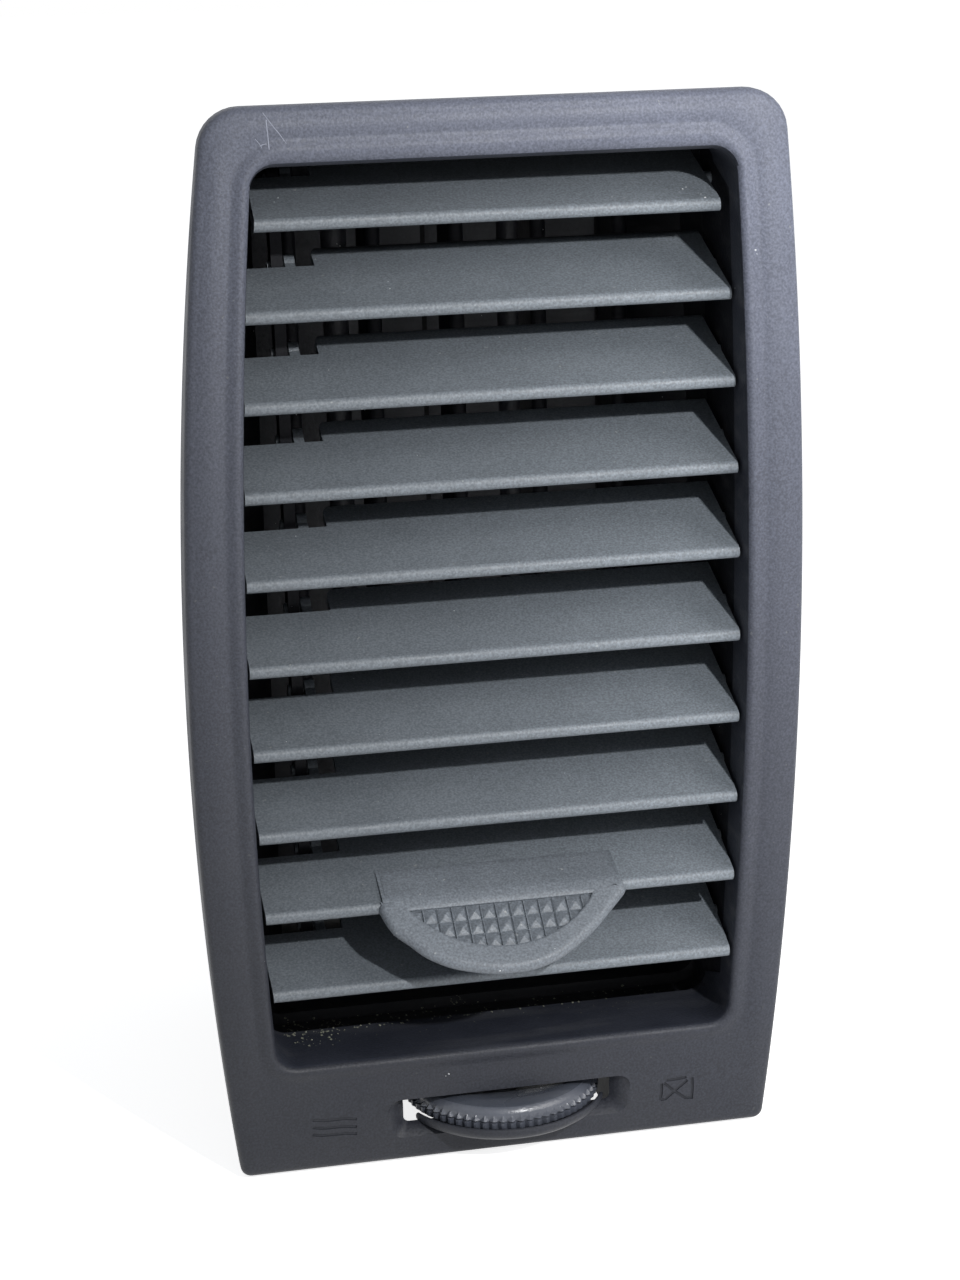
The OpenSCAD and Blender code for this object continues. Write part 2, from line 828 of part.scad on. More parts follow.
module vane_holes(k) {
    translate([vane_x(k), vane_y, vane_bottom - vane_pin_l - 0.3])
        cylinder(r = pin_d/2 + pin_gap, h = vane_pin_l + 2);
    translate([vane_x(k), vane_y, vane_top])
        cylinder(r = pin_d/2 + pin_gap, h = vane_pin_l + 0.3);
}

module vane_plan() {
    rear = vane_front + vane_chord - vane_t/2;
    translate([0, vane_y]) circle(1.3);
    translate([0, rear]) circle(vane_t/2);
    polygon([[-vane_t/2, vane_y], [-vane_t/2, rear], [vane_t/2, rear], [vane_t/2, vane_y]]);
}

module vane(k) {
    color([0.15, 0.16, 0.18]) translate([vane_x(k), 0, 0]) union() {
        difference() {
            intersection() {
                along_z(vane_bottom, vane_top) vane_plan();
                along_x(-far/2, far/2) duct_profile(-0.6);
            }
            translate([-vane_t, vane_y + vane_crank - tie_w/2 - 1, vane_bottom - 1])
                cube([2*vane_t, vane_chord, link_slot_h + 1]);
        }
        translate([0, vane_y + vane_crank, vane_link_z - 0.4])
            cylinder(r = pin_d/2, h = vane_bottom + link_slot_h - vane_link_z + 1.5);
        translate([0, vane_y, vane_bottom - vane_pin_l])
            cylinder(r = pin_d/2, h = vane_top - vane_bottom + 2*vane_pin_l);
        if (k == (vane_count + 1)/2) steering_post();
    }
}

// Post on the middle vane, held by an arm above and an arm below
module steering_post() {
    translate([0, post_y, post_z - post_below])
        cylinder(r = post_d/2, h = post_above + post_below);
    for (z = [post_z - post_below - 2, post_z + post_above]) {
        translate([-post_d/2, post_y, z]) cube([post_d, vane_y - post_y, 2]);
        translate([0, post_y, z]) cylinder(r = post_d/2, h = 2);
    }
}

module vane_link() {
    color([0.2, 0.2, 0.22]) translate([0, vane_y + vane_crank, vane_link_z]) difference() {
        union() {
            translate([vane_x(1), -tie_w/2, 0])
                cube([vane_x(vane_count) - vane_x(1), tie_w, vane_link_t]);
            for (k = [1, vane_count]) translate([vane_x(k), 0, 0])
                cylinder(r = tie_w/2, h = vane_link_t);
        }
        for (k = [1:vane_count]) translate([vane_x(k), 0, -1])
            cylinder(r = pin_d/2 + pin_gap, h = vane_link_t + 2);
    }
}

// ---- thumbwheel ----

hub_wheel_r = 4.2;
dish_r = wheel_r - 2.6;
dish_depth = 2.2;
tooth_h = 0.5;

module wheel_profile() {
    floor_t = wheel_t - dish_depth;
    polygon([[0, 0], [wheel_r - tooth_h, 0], [wheel_r - tooth_h, wheel_t - 0.4],
        [wheel_r - tooth_h - 0.6, wheel_t], [dish_r + 0.6, wheel_t],
        [dish_r - 1.6, floor_t + 0.5], [dish_r - 4, floor_t], [hub_wheel_r, floor_t],
        [hub_wheel_r, wheel_t - 0.2], [0, wheel_t - 0.2]]);
}

// Two rows of small teeth with a groove between them
module wheel_teeth_row(z0, z1) {
    points = [for (k = [0:2*wheel_teeth - 1])
        (k % 2 == 0 ? wheel_r : wheel_r - tooth_h - 0.2)*[cos(k*180/wheel_teeth), sin(k*180/wheel_teeth)]];
    along_z(z0, z1) difference() {
        polygon(points);
        circle(wheel_r - tooth_h - 1.5, $fn = 96);
    }
}

module thumbwheel() {
    color([0.27, 0.29, 0.32]) translate([wheel_x, wheel_y, wheel_bottom_z]) difference() {
        union() {
            rotate_extrude($fn = 96) wheel_profile();
            wheel_teeth_row(0.3, wheel_t/2 - 0.15);
            wheel_teeth_row(wheel_t/2 + 0.15, wheel_t - 0.5);
            translate([crank_dx, crank_dy, wheel_t - dish_depth - 0.5])
                cylinder(r = crank_pin_d/2, h = plate_z + plate_t + 0.1 - wheel_bottom_z
                    - wheel_t + dish_depth + 0.5);
            translate([crank_dx, crank_dy, wheel_t - dish_depth - 0.5])
                cylinder(r = crank_pin_d/2 + 0.9, h = dish_depth + 0.4);
        }
        translate([0, 0, -1]) cylinder(r = axle_d/2 + pin_gap, h = wheel_t + 2);
    }
}

bracket_top = wheel_bottom_z - 1;
bracket_t = 2;

module wheel_axle() {
    color([0.7, 0.7, 0.72]) translate([wheel_x, wheel_y, bracket_top - bracket_t - 0.4]) union() {
        cylinder(r = axle_d/2, h = floor_z + 0.8 - (bracket_top - bracket_t - 0.4));
        cylinder(r = axle_d/2 + 1, h = 0.4);
    }
}

module wheel_washer() {
    color([0.3, 0.28, 0.26]) translate([wheel_x, wheel_y, bracket_top + seat_gap]) difference() {
        cylinder(r = hub_wheel_r, h = wheel_bottom_z - bracket_top - 2*seat_gap);
        translate([0, 0, -1]) cylinder(r = axle_d/2 + pin_gap, h = 4);
    }
}

module wheel_bracket() {
    foot_z = floor_z - 3 - seat_gap;
    color([0.16, 0.17, 0.19]) difference() {
        translate([wheel_x, 0, 0]) union() {
            translate([-4.5, wheel_y, bracket_top - bracket_t])
                cube([9, bracket_y + 3 - wheel_y, bracket_t]);
            translate([0, wheel_y, bracket_top - bracket_t]) cylinder(r = 4.5, h = bracket_t);
            translate([-bracket_foot_x, bracket_y - 3, bracket_top - bracket_t])
                cube([2*bracket_foot_x, 6, bracket_t]);
            for (s = [-1, 1]) {
                translate([s*bracket_foot_x, bracket_y, bracket_top - bracket_t])
                    cylinder(r = 3, h = foot_z - bracket_top + bracket_t);
            }
        }
        translate([wheel_x, wheel_y, bracket_top - bracket_t - 1])
            cylinder(r = axle_d/2 + pin_gap/2, h = bracket_t + 2);
        for (s = [-1, 1]) translate([wheel_x + s*bracket_foot_x, bracket_y, bracket_top - bracket_t - 1])
            cylinder(r = foot_screw_r + run_gap, h = through);
    }
}

// A pan-head screw along +Z, with its head at the origin
module screw(r, length) {
    translate([0, 0, -1.4]) difference() {
        cylinder(r = 2*r, h = 1.4);
        translate([0, 0, -0.6]) for (a = [0, 90]) rotate(a)
            translate([-r, -0.25, 0]) cube([2*r, 0.5, 1.2]);
    }
    translate([0, 0, -0.1]) cylinder(r = r, h = length + 0.1);
}

module bracket_screws() {
    color("silver") for (s = [-1, 1])
        translate([wheel_x + s*bracket_foot_x, bracket_y, bracket_top - bracket_t])
            screw(foot_screw_r - 2*pin_gap, floor_z + 1.4 - bracket_top + bracket_t);
}

module frame_screws() {
    color("silver") for (s = [-1, 1])
        translate([s*frame_screw_spacing/2, frame_boss_rear + seat_gap + 2, frame_screw_z])
            rotate([90, 0, 0]) screw(frame_screw_r - 2*pin_gap, frame_pilot_l + 1.6);
}

// ---- damper ----

// Eye round the point [x, y] of the damper's plate
module eye(x, y) {
    translate([x, y]) circle(eye_r);
}

plate_w = 5;
plate_top_y = damper_y + crank_dy;

module damper_link() {
    wheel_pin = [wheel_x + crank_dx, wheel_y + crank_dy];
    color([0.2, 0.2, 0.22]) along_z(plate_z, plate_z + plate_t) difference() {
        union() {
            eye(wheel_pin[0], wheel_pin[1]);
            translate([wheel_pin[0] - plate_w/2, wheel_pin[1]])
                square([plate_w, plate_top_y - wheel_pin[1]]);
            translate([-damper_x + crank_dx, plate_top_y - plate_w/2])
                square([2*damper_x, plate_w]);
            for (s = [-1, 1]) eye(s*damper_x + crank_dx, plate_top_y);
        }
        translate(wheel_pin) circle(crank_pin_d/2 + pin_gap);
        for (s = [-1, 1]) translate([s*damper_x + crank_dx, plate_top_y])
            circle(crank_pin_d/2 + pin_gap);
    }
}

damper_bottom = duct_bottom + 0.5;
damper_top = spigot_top - 0.5;
key_w = 2.6;
shoulder_t = 0.4;
journal_end = 1.7;

module damper(s) {
    color([0.22, 0.23, 0.25]) translate([s*damper_x, damper_y, 0]) {
        rotate(damper_closed) {
            translate([-damper_t/2, -damper_w/2 + foam_t, damper_bottom])
                cube([damper_t, damper_w - 2*foam_t, damper_top - damper_bottom]);
            translate([0, 0, damper_bottom])
                cylinder(r = journal_d/2 + shoulder_t, h = damper_top - damper_bottom);
            translate([0, 0, floor_z - overlap])
                cylinder(r = journal_d/2, h = damper_bottom - floor_z + 2*overlap);
            translate([0, 0, damper_top - overlap])
                cylinder(r = journal_d/2, h = journal_end + overlap);
        }
        intersection() {
            translate([0, 0, lever_z]) cylinder(r = journal_d/2, h = floor_z - lever_z);
            translate([-key_w/2, -far/2, lever_z]) cube([key_w, far, far]);
        }
    }
}

module seal(s) {
    color([0.1, 0.1, 0.1]) translate([s*damper_x, damper_y, 0]) for (e = [-1, 1])
        rotate(damper_closed) translate([-damper_t/2, e*(damper_w - foam_t)/2 - foam_t/2, damper_bottom])
            cube([damper_t, foam_t, damper_top - damper_bottom]);
}

module lever(s) {
    color([0.2, 0.2, 0.22]) translate([s*damper_x, damper_y, lever_z]) difference() {
        union() {
            cylinder(r = journal_d/2 + 1.4, h = lever_t);
            rotate(crank_rest) translate([0, -lever_w/2, 0]) cube([throw_r, lever_w, lever_t]);
            translate([crank_dx, crank_dy, 0]) cylinder(r = eye_r, h = lever_t);
            translate([crank_dx, crank_dy, -plate_t - 0.3])
                cylinder(r = crank_pin_d/2, h = plate_t + 0.4);
        }
        translate([0, 0, -1]) intersection() {
            cylinder(r = journal_d/2 + pin_gap, h = lever_t + 2);
            translate([-key_w/2 - pin_gap, -far/2, 0]) cube([key_w + 2*pin_gap, far, far]);
        }
    }
}

// ---- seal and clips ----

module spigot_seal() {
    color([0.12, 0.12, 0.12]) difference() {
        translate([-spigot_half_w - shell_t - seal_t, spigot_y - seal_band - 1, floor_z - seal_t])
            cube([2*(spigot_half_w + shell_t + seal_t), seal_band,
                spigot_top + shell_t - floor_z + 2*seal_t]);
        translate([-spigot_half_w - shell_t, spigot_y - seal_band - 2, floor_z])
            cube([2*(spigot_half_w + shell_t), seal_band + 2, spigot_top + shell_t - floor_z]);
    }
}

// A folded steel clip over a post, with two barbs
module clip(x, e) {
    inner = post_w/2 + seat_gap;
    outer = inner + clip_t;
    top = post_h + seat_gap;
    width = clip_l - 2;
    translate([x, clip_y + 1, e > 0 ? roof_z : floor_z]) mirror([0, 0, e > 0 ? 0 : 1]) {
        for (s = [-1, 1]) translate([s*(inner + clip_t/2) - clip_t/2, 0, seat_gap])
            cube([clip_t, width, top + clip_t - seat_gap]);
        translate([-outer, 0, top]) cube([2*outer, width, clip_t]);
        for (s = [-1, 1]) translate([s*(outer - clip_t/3), 2, post_h - 0.4]) rotate([0, -s*35, 0])
            translate([-clip_t/2, 0, -barb_l]) cube([clip_t, width - 4, barb_l]);
    }
}

module retaining_clips() {
    color([0.62, 0.63, 0.66]) {
        for (s = [-1, 1]) clip(s*clip_spacing/2, 1);
        for (s = [-1, 1]) clip(s*floor_clip_x, -1);
    }
}

bezel();
housing();
rail(-1);  // rail_left
rail(1);  // rail_right
louver(1);  // louver_1
louver(2);  // louver_2
louver(3);  // louver_3
louver(4);  // louver_4
louver(5);  // louver_5
louver(6);  // louver_6
louver(7);  // louver_7
louver(8);  // louver_8
louver(9);  // louver_9
louver(10);  // louver_10
finger_tab();
louver_link();
vane(1);  // vane_1
vane(2);  // vane_2
vane(3);  // vane_3
vane(4);  // vane_4
vane(5);  // vane_5
vane_link();
thumbwheel();
wheel_axle();
wheel_bracket();
bracket_screws();
wheel_washer();
damper_link();
damper(-1);  // damper_left
damper(1);  // damper_right
lever(-1);  // lever_left
lever(1);  // lever_right
seal(-1);  // seal_left
seal(1);  // seal_right
spigot_seal();
frame_screws();
retaining_clips();
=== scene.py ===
"""Looks, light and camera for a dashboard air vent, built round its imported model."""

import json
import math
import random

import bmesh
import bpy
from mathutils import Matrix, Vector
from mathutils.bvhtree import BVHTree


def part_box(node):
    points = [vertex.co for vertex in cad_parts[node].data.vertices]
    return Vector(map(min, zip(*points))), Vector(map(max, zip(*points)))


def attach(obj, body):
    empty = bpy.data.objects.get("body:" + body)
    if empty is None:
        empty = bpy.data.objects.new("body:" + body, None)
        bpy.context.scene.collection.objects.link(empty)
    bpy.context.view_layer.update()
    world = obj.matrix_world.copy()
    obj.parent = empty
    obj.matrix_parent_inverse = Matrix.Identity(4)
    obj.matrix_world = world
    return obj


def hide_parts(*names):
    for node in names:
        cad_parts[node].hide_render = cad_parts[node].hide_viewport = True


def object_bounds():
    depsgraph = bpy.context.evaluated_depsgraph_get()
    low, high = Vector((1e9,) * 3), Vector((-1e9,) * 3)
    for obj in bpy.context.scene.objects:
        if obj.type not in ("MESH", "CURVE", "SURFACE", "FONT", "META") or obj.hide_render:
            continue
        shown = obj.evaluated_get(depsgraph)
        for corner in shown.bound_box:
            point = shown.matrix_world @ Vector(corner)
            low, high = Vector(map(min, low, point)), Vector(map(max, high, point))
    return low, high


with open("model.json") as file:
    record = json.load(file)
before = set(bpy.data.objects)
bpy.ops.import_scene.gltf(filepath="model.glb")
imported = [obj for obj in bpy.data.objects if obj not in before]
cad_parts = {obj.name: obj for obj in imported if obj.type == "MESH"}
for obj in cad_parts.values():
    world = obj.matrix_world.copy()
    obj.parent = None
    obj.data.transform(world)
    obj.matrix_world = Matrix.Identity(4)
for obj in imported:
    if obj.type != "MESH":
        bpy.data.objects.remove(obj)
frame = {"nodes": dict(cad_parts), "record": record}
cad_low, cad_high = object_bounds()

MM = 0.001
NODES = frame["nodes"]
RANDOM = random.Random(7)

# -------------------- camera

IMAGE_W = 960
IMAGE_H = 1280
LONG_SIDE = max(IMAGE_W, IMAGE_H)
SENSOR_MM = 36.0
LENS_MM = 73.37
# What the camera looks at, how far off it stands, and its turns
AIM = Vector((-2.83, -3.0, 2.88))*MM
AIM_DISTANCE = 407.4*MM
YAW = math.radians(11.521)
PITCH = math.radians(17.2)
ROLL = math.radians(-1.083)


def make_camera():
    """The camera of the photo: it looks along forward at AIM from AIM_DISTANCE."""
    forward = Vector((math.sin(YAW)*math.cos(PITCH), math.cos(YAW)*math.cos(PITCH),
                      -math.sin(PITCH)))
    level = forward.cross(Vector((0, 0, 1))).normalized()
    upright = level.cross(forward)
    right = math.cos(ROLL)*level + math.sin(ROLL)*upright
    up = math.cos(ROLL)*upright - math.sin(ROLL)*level
    data = bpy.data.cameras.new("camera")
    data.sensor_fit = "AUTO"
    data.sensor_width = SENSOR_MM
    data.lens = LENS_MM
    data.clip_start = 0.01
    obj = bpy.data.objects.new("camera", data)
    bpy.context.scene.collection.objects.link(obj)
    turn = Matrix((right, up, -forward)).transposed()
    obj.matrix_world = Matrix.Translation(AIM - AIM_DISTANCE*forward) @ turn.to_4x4()
    bpy.context.scene.camera = obj
    return obj


camera = make_camera()
bpy.context.view_layer.update()


def ray_through(x, y):
    """Origin and direction of the ray through an image point."""
    data = camera.data
    local = Vector((x - IMAGE_W/2 + data.shift_x*LONG_SIDE,
                    IMAGE_H/2 - y + data.shift_y*LONG_SIDE,
                    -LONG_SIDE*data.lens/data.sensor_width))
    turn = camera.matrix_world.to_3x3()
    return camera.matrix_world.translation.copy(), (turn @ local).normalized()


def image_of(point):
    """Image point of a place in the frame."""
    local = camera.matrix_world.inverted() @ Vector(point)
    data = camera.data
    scale = LONG_SIDE*data.lens/data.sensor_width/-local.z
    return (IMAGE_W/2 + local.x*scale - data.shift_x*LONG_SIDE,
            IMAGE_H/2 - local.y*scale + data.shift_y*LONG_SIDE)


# -------------------- meshes

def make_object(name, verts, faces, body="frame"):
    """A mesh object that rides on a body, or on none."""
    mesh = bpy.data.meshes.new(name)
    mesh.from_pydata(verts, [], faces)
    mesh.validate()
    mesh.update()
    obj = bpy.data.objects.new(name, mesh)
    bpy.context.scene.collection.objects.link(obj)
    if body:
        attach(obj, body)
    return obj


def recalc(obj):
    """Turn all faces outward."""
    mesh = obj.data
    work = bmesh.new()
    work.from_mesh(mesh)
    bmesh.ops.recalc_face_normals(work, faces=work.faces)
    work.to_mesh(mesh)
    work.free()


def shade(obj, angle=35):
    """Shade smooth, with edges sharper than angle left sharp."""
    mesh = obj.data
    mesh.shade_smooth()
    mesh.set_sharp_from_angle(angle=math.radians(angle))


def apply_modifiers(obj):
    graph = bpy.context.evaluated_depsgraph_get()
    mesh = bpy.data.meshes.new_from_object(obj.evaluated_get(graph))
    old = obj.data
    obj.modifiers.clear()
    obj.data = mesh
    mesh.name = old.name
    bpy.data.meshes.remove(old)


def cut(obj, cutter, operation="DIFFERENCE"):
    """Apply a boolean with the cutter, which is used up."""
    modifier = obj.modifiers.new("cut", "BOOLEAN")
    modifier.operation = operation
    modifier.solver = "EXACT"
    modifier.object = cutter
    bpy.context.view_layer.update()
    apply_modifiers(obj)
    mesh = cutter.data
    bpy.data.objects.remove(cutter)
    bpy.data.meshes.remove(mesh)


def loft(rings, closed_rings=False, caps=False):
    """Verts and faces that join equal closed loops of points."""
    count = len(rings[0])
    verts = [p for ring in rings for p in ring]
    faces = []
    pairs = len(rings) if closed_rings else len(rings) - 1
    for a in range(pairs):
        b = (a + 1) % len(rings)
        for k in range(count):
            n = (k + 1) % count
            faces.append((a*count + k, a*count + n, b*count + n, b*count + k))
    if caps:
        faces.append(tuple(reversed(range(count))))
        faces.append(tuple(range((len(rings) - 1)*count, len(rings)*count)))
    return verts, faces


def solid(rings):
    """A closed solid through the rings, for use in a cut."""
    obj = make_object("solid", *loft(rings, caps=True), body=None)
    recalc(obj)
    return obj


# -------------------- bezel

# The same lines as the part's solids, in millimetres
low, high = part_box("bezel")
HALF_H = high.z/MM
HALF_W = (high.x - low.x)/2/MM
# How far the face stands ahead of the seat at its ends, and how much more in the middle
EDGE_T = 3.0
FACE_BULGE = 3.6
# Bow of the left and right sides, and the height where each is widest
SIDE_BULGES = (5.7, 3.7)
OPENING_HALF_W = 39.7
OPENING_BULGES = (4.5, 2.8)
WIDEST = (-6.0, 6.9)
# Face above and below the opening
STRIP_TOP = 6.4
STRIP_BOTTOM = 19.6
# Rounding of the opening's edge at its ends and sides, and of the outer edge
LIP_R = 2.5
RIM_R = 1.1
EDGE_R = 1.3
SKIN = 2.4
SLEEVE_WALL = 2.0
# Corner radii, lower and upper, and the least one that an inset leaves
CORNER_R = (1.8, 6.5)
OPENING_R = 3.4
LEAST_R = 0.3
# Rear end of the sleeve at its ends and at its sides, and how far an end starts the former
SILL_REAR = 9.0
SIDE_REAR = 1.0
SILL_FROM = 0.05
OPENING_TOP = HALF_H - STRIP_TOP - LIP_R
OPENING_BOTTOM = -HALF_H + STRIP_BOTTOM
# In looks only: crown of the face between its edges
CROWN = 0.35
# and the bead along the opening's edge, its height and width
BEAD = 0.4
BEAD_W = 1.9
CORNER_STEPS = 8
SIDE_STEPS = 44
TOP_STEPS = 26
BOTTOM_STEPS = 60
EDGE_STEPS = 5
FACE_STEPS = 12
BEAD_STEPS = 8
RIM_STEPS = 6


def face_y(z):
    """Depth of the face at a height; the seat is at 0."""
    return -EDGE_T - FACE_BULGE*(1 - (z/HALF_H)**2)


def arc_radius(bulge):
    """Radius of a side that bows by bulge over half the height."""
    return (HALF_H**2 + bulge**2)/(2*bulge)


def side_line(s, half_w, bulge, bottom, top, radii, grow):
    """One side from bottom to top with its corners: (x, z) and how far it is an end."""
    side_r = arc_radius(bulge)
    middle = WIDEST[0 if s < 0 else 1]
    points = []

    def corner(e, edge, r):
        """Where a corner's arc has its centre from the side's, and where it meets the side."""
        dz = edge - e*r - middle
        dx = math.sqrt((side_r + grow - r)**2 - dz*dz)
        return dx, math.atan2(dz, dx)

    def round_corner(e, edge, r, dx, start, stop):
        for k in range(CORNER_STEPS + 1):
            a = start + (stop - start)*k/CORNER_STEPS
            points.append((s*(half_w - side_r + dx + r*math.cos(a)),
                           edge - e*r + r*math.sin(a), e*math.sin(a)))

    low_dx, first = corner(-1, bottom, radii[0])
    high_dx, last = corner(1, top, radii[1])
    round_corner(-1, bottom, radii[0], low_dx, -math.pi/2, first)
    for k in range(1, SIDE_STEPS):
        a = first + (last - first)*k/SIDE_STEPS
        points.append((s*(half_w - side_r + (side_r + grow)*math.cos(a)),
                       middle + (side_r + grow)*math.sin(a), 0.0))
    round_corner(1, top, radii[1], high_dx, last, math.pi/2)
    return points


def panel_loop(half_w, bulges, bottom, top, radii, grow, grow_top=None):
    """A closed loop of (x, z, how far it is an end, whether it is in the upper half),
    anticlockwise from the lower right corner."""
    grow_top = grow if grow_top is None else grow_top
    radii = [max(radii[0] + grow, LEAST_R), max(radii[1] + max(grow, grow_top), LEAST_R)]
    left = side_line(-1, half_w, bulges[0], bottom - grow, top + grow_top, radii, grow)
    right = side_line(1, half_w, bulges[1], bottom - grow, top + grow_top, radii, grow)
    loop = [(x, z, end, z > 0) for x, z, end in right]
    for k in range(1, TOP_STEPS):
        t = k/TOP_STEPS
        loop.append((right[-1][0] + (left[-1][0] - right[-1][0])*t, right[-1][1], 1.0, True))
    loop += [(x, z, end, z > 0) for x, z, end in reversed(left)]
    for k in range(1, BOTTOM_STEPS):
        t = k/BOTTOM_STEPS
        loop.append((left[0][0] + (right[0][0] - left[0][0])*t, left[0][1], 1.0, False))
    return loop


def outer_loop(grow):
    return panel_loop(HALF_W, SIDE_BULGES, -HALF_H, HALF_H, CORNER_R, grow)


def opening_loop(grow, grow_top=None):
    return panel_loop(OPENING_HALF_W, OPENING_BULGES, OPENING_BOTTOM, OPENING_TOP,
                      (OPENING_R, OPENING_R), grow, grow_top)


def bezel_rings():
    """Closed loops in metres, from the seat round the face and the sleeve back to it."""
    rings = []

    def add(loop, depth):
        rings.append([Vector((p[0], depth(p), p[1]))*MM for p in loop])

    outer = outer_loop(0)
    add(outer, lambda p: 0.0)
    add(outer, lambda p: face_y(p[1]) + EDGE_R)
    for k in range(1, EDGE_STEPS + 1):
        a = k/EDGE_STEPS*math.pi/2
        inset = EDGE_R*(1 - math.cos(a))
        add(outer_loop(-inset), lambda p, a=a: face_y(p[1]) + EDGE_R*(1 - math.sin(a)))
    shoulder = outer_loop(-EDGE_R)
    foot = opening_loop(RIM_R + BEAD_W, LIP_R + BEAD_W)
    for k in range(1, FACE_STEPS + 1):
        t = k/FACE_STEPS
        loop = [(a[0] + (b[0] - a[0])*t, a[1] + (b[1] - a[1])*t)
                for a, b in zip(shoulder, foot)]
        crown = CROWN*4*t*(1 - t)
        add(loop, lambda p, c=crown: face_y(p[1]) - c)
    for k in range(1, BEAD_STEPS):
        t = k/BEAD_STEPS
        rise = BEAD*(1 - math.cos(math.pi*t))/2
        add(opening_loop(RIM_R + BEAD_W*(1 - t), LIP_R + BEAD_W*(1 - t)),
            lambda p, c=rise: face_y(p[1]) - c)
    for k in range(RIM_STEPS + 1):
        a = (1 - k/RIM_STEPS)*math.pi/2
        spread = 1 - math.cos(a)
        loop = opening_loop(RIM_R*spread, LIP_R*spread)

        def depth(p, a=a):
            r = RIM_R + (LIP_R - RIM_R)*(p[2] if p[3] else 0.0)
            return face_y(p[1]) - BEAD + (r + BEAD)*(1 - math.sin(a))
        add(loop, depth)

    def rear(p):
        return SILL_REAR if p[2] > SILL_FROM else SIDE_REAR
    # One ring just ahead of the sides' rear end, so that the step to the sill is upright
    add(opening_loop(0), lambda p: SIDE_REAR - 0.05)
    add(opening_loop(0), rear)
    add(opening_loop(SLEEVE_WALL), rear)
    add(opening_loop(SLEEVE_WALL), lambda p: face_y(p[1]) + SKIN)
    add(outer_loop(-SKIN), lambda p: face_y(p[1]) + SKIN)
    add(outer_loop(-SKIN), lambda p: 0.0)
    return rings


verts, faces = loft(bezel_rings(), closed_rings=True)
bezel = make_object("bezel_shell", verts, faces)
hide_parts("bezel")
recalc(bezel)

# The slot for the wheel and the flared recess round it
WHEEL_X = 1.2
WHEEL_Y = 7.0
SLOT_X = WHEEL_X - 0.6
SLOT_W = 35.0
SLOT_TOP = -74.3
SLOT_H = 5.5
SLOT_R = 1.0
RECESS_W = 40.0
RECESS_H = 7.3
RECESS_R = 2.0
# How far the recess has closed from its mouth to the slot, and its depth
RECESS_STEPS = ((-0.5, -1.2), (-0.16, -0.12), (0.0, 0.12), (0.2, 0.5), (0.45, 1.0),
                (0.72, 1.7), (1.0, 2.6), (1.0, 14.0))


def rounded_rect(cx, w, top, h, r, y, steps=5):
    """A loop of points in the plane y, in millimetres."""
    points = []
    for sx, sz, start in ((1, 1, 0), (-1, 1, 90), (-1, -1, 180), (1, -1, 270)):
        for k in range(steps + 1):
            a = math.radians(start + 90*k/steps)
            points.append(Vector((cx + sx*(w/2 - r) + r*math.cos(a), y,
                                  top - h/2 + sz*(h/2 - r) + r*math.sin(a)))*MM)
    return points


def recess_cutter():
    """The slot and its recess, from in front of the face to behind the wall."""
    y = face_y(SLOT_TOP)
    rings = []
    for closed, depth in RECESS_STEPS:
        w = RECESS_W + (SLOT_W - RECESS_W)*closed
        h = RECESS_H + (SLOT_H - RECESS_H)*closed
        r = RECESS_R + (SLOT_R - RECESS_R)*closed
        rings.append(rounded_rect(SLOT_X, w, SLOT_TOP, h, r, y + depth))
    return solid(rings)


cut(bezel, recess_cutter())

# Lip under the wheel: radius from the wheel's axis and height
GUARD = ((8.6, -79.9), (17.05, -79.9), (17.12, -79.5), (17.2, -78.95), (17.3, -78.62),
         (17.5, -78.5), (17.72, -78.62), (17.85, -78.95), (17.8, -79.5), (17.5, -80.1),
         (16.6, -80.8), (15.0, -81.5), (13.2, -82.3), (11.8, -83.0), (10.6, -84.0),
         (8.6, -85.0))
# Degrees that the lip runs to each side
GUARD_TURN = 78
GUARD_STEPS = 80
# What is taken off the lip's rear
GUARD_REAR = ((-40, -1.0, -90), (40, 20, -75))
SLOT_WEB = ((18.8, -1.2, -84.4), (22.8, 14.0, SLOT_TOP + 0.6))


def guard_solid():
    rings = []
    for k in range(GUARD_STEPS + 1):
        turn = math.radians(-GUARD_TURN + 2*GUARD_TURN*k/GUARD_STEPS)
        rings.append([Vector((WHEEL_X + r*math.sin(turn), WHEEL_Y - r*math.cos(turn), z))*MM
                      for r, z in GUARD])
    return solid(rings)


def box_solid(low, high):
    """A box from its lowest to its highest corner, in millimetres."""
    corners = [(x, y, z) for z in (low[2], high[2]) for y in (low[1], high[1])
               for x in (low[0], high[0])]
    faces = [(0, 2, 3, 1), (4, 5, 7, 6), (0, 1, 5, 4), (2, 6, 7, 3), (0, 4, 6, 2), (1, 3, 7, 5)]
    obj = make_object("box", [Vector(c)*MM for c in corners], faces, body=None)
    recalc(obj)
    return obj


guard = guard_solid()
cut(guard, box_solid(*GUARD_REAR))
cut(bezel, guard, "UNION")

# Web behind the right end of the slot
slot_web = box_solid(*SLOT_WEB)
slot_web.name = "slot_web"
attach(slot_web, "frame")


# -------------------- places from the photo

def tree_of(*objects):
    """A tree of the faces of objects at rest, for place()."""
    graph = bpy.context.evaluated_depsgraph_get()
    verts, faces = [], []
    for obj in objects:
        part = obj.evaluated_get(graph)
        start = len(verts)
        verts += [part.matrix_world @ v.co for v in part.data.vertices]
        faces += [[start + i for i in f.vertices] for f in part.data.polygons]
    return BVHTree.FromPolygons(verts, faces)


def place(tree, x, y):
    """Where the ray through an image point meets the tree: point, normal and face."""
    origin, direction = ray_through(x, y)
    point, normal, index, _ = tree.ray_cast(origin, direction)
    if point is None:
        raise RuntimeError("nothing is met at image point %s, %s" % (x, y))
    if normal.dot(direction) > 0:
        normal = -normal
    return point, normal, index


face_tree = tree_of(bezel)


